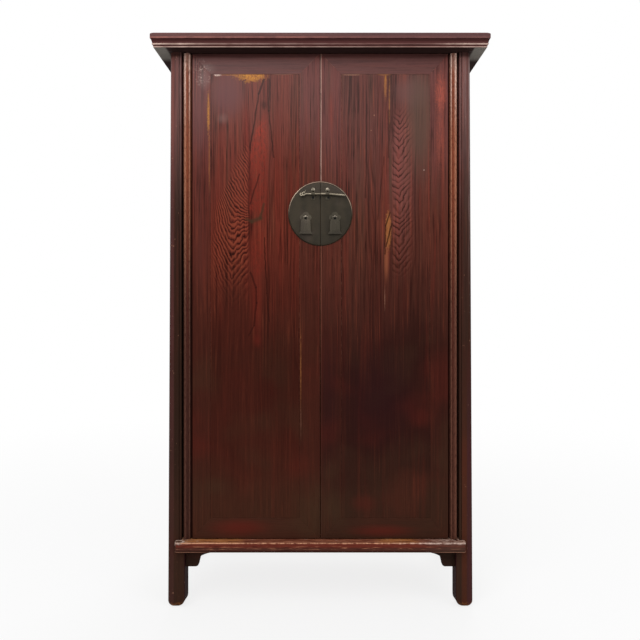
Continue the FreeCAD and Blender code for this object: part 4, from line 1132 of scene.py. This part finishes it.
# wooden pegs through the tenons, proud by less than a millimetre
pegHeads = Shape("pegHeads", {"Radius": "Float", "Height": "Float", "Sides": "Int"})
peg = pegHeads.node("GeometryNodeMeshCone", None, {"Vertices": pegHeads.given["Sides"],
                                                  "Radius Top": pegHeads.given["Radius"] * 0.82,
                                                  "Radius Bottom": pegHeads.given["Radius"],
                                                  "Depth": pegHeads.given["Height"]})
facing = pegHeads.node("GeometryNodeInputNamedAttribute", {"data_type": "FLOAT_VECTOR"}, {"Name": "facing"})
lean = pegHeads.node("FunctionNodeAlignRotationToVector", {"axis": "Z"}, {"Vector": facing})
uneven = pegHeads.node("FunctionNodeRandomValue", {"data_type": "FLOAT_VECTOR"},
                       {0: (0.9, 0.9, 0.7), 1: (1.1, 1.1, 1.2), "Seed": 7})
pegHeads.close(pegHeads.node("GeometryNodeInstanceOnPoints", None,
                             {"Points": pegHeads.given["Geometry"], "Instance": peg, "Rotation": lean,
                              "Scale": uneven}))
pegLook = {"radius": 0.0034, "height": 0.0007, "sides": 12, "backFace": 0.249, "doorBack": -0.218,
           "backX": 0.4495, "backHeights": (0.196, 0.2065, 0.992, 1.013),
           "sideY": 0.208, "sideHeights": (0.2015, 0.470, 0.985, 1.510),
           "sideFoot": 0.493, "lean": 0.009, "leanOver": 1.786,
           "battens": (0.48, 0.79, 1.10, 1.56), "battenEnds": (0.3585, 0.0625),
           "rails": (0.258, 1.742), "stileMiddle": (0.383, 0.034)}


def casePegs(look):
    spots = []
    for side in (-1, 1):
        for z in look["backHeights"]:
            spots.append(((side * look["backX"], look["backFace"], z), (0, 1, 0)))
        for z in look["sideHeights"]:
            reach = look["sideFoot"] - look["lean"] * z / look["leanOver"]
            for y in (-look["sideY"], look["sideY"]):
                spots.append(((side * reach, y, z), (side, 0, 0.005)))
    return spots


def doorPegs(side, look):
    places = [(x, z) for x in look["battenEnds"] for z in look["battens"]]
    places += [(x, z) for x in look["stileMiddle"] for z in look["rails"]]
    return [((signs[side] * x, look["doorBack"], z), (0, 1, 0)) for x, z in places]


def pegPiece(name, spots, look, finish, body, slot):
    mesh = bpy.data.meshes.new("pegSpots")
    mesh.from_pydata([place for place, way in spots], [], [])
    ways = [value for place, way in spots for value in way]
    mesh.attributes.new("facing", "FLOAT_VECTOR", "POINT").data.foreach_set("vector", ways)
    piece = pegHeads.grow(name, mesh, {"Radius": look["radius"], "Height": look["height"], "Sides": look["sides"],
                                       "Finish": finish})
    return fasten(piece, body, slot)


pegWood = agedWood("pegWood", "y", 51.0, (tone(92, 60, 44),) * 3, 0.1, None, None, 0.4)
pegPiece("case_pegs", casePegs(pegLook), pegLook, pegWood, "case", "lacquered_elm")
for side in ("left", "right"):
    pegPiece(side + "_door_pegs", doorPegs(side, pegLook), pegLook, pegWood, side + "_door", "bare_elm")
print("pegs set")
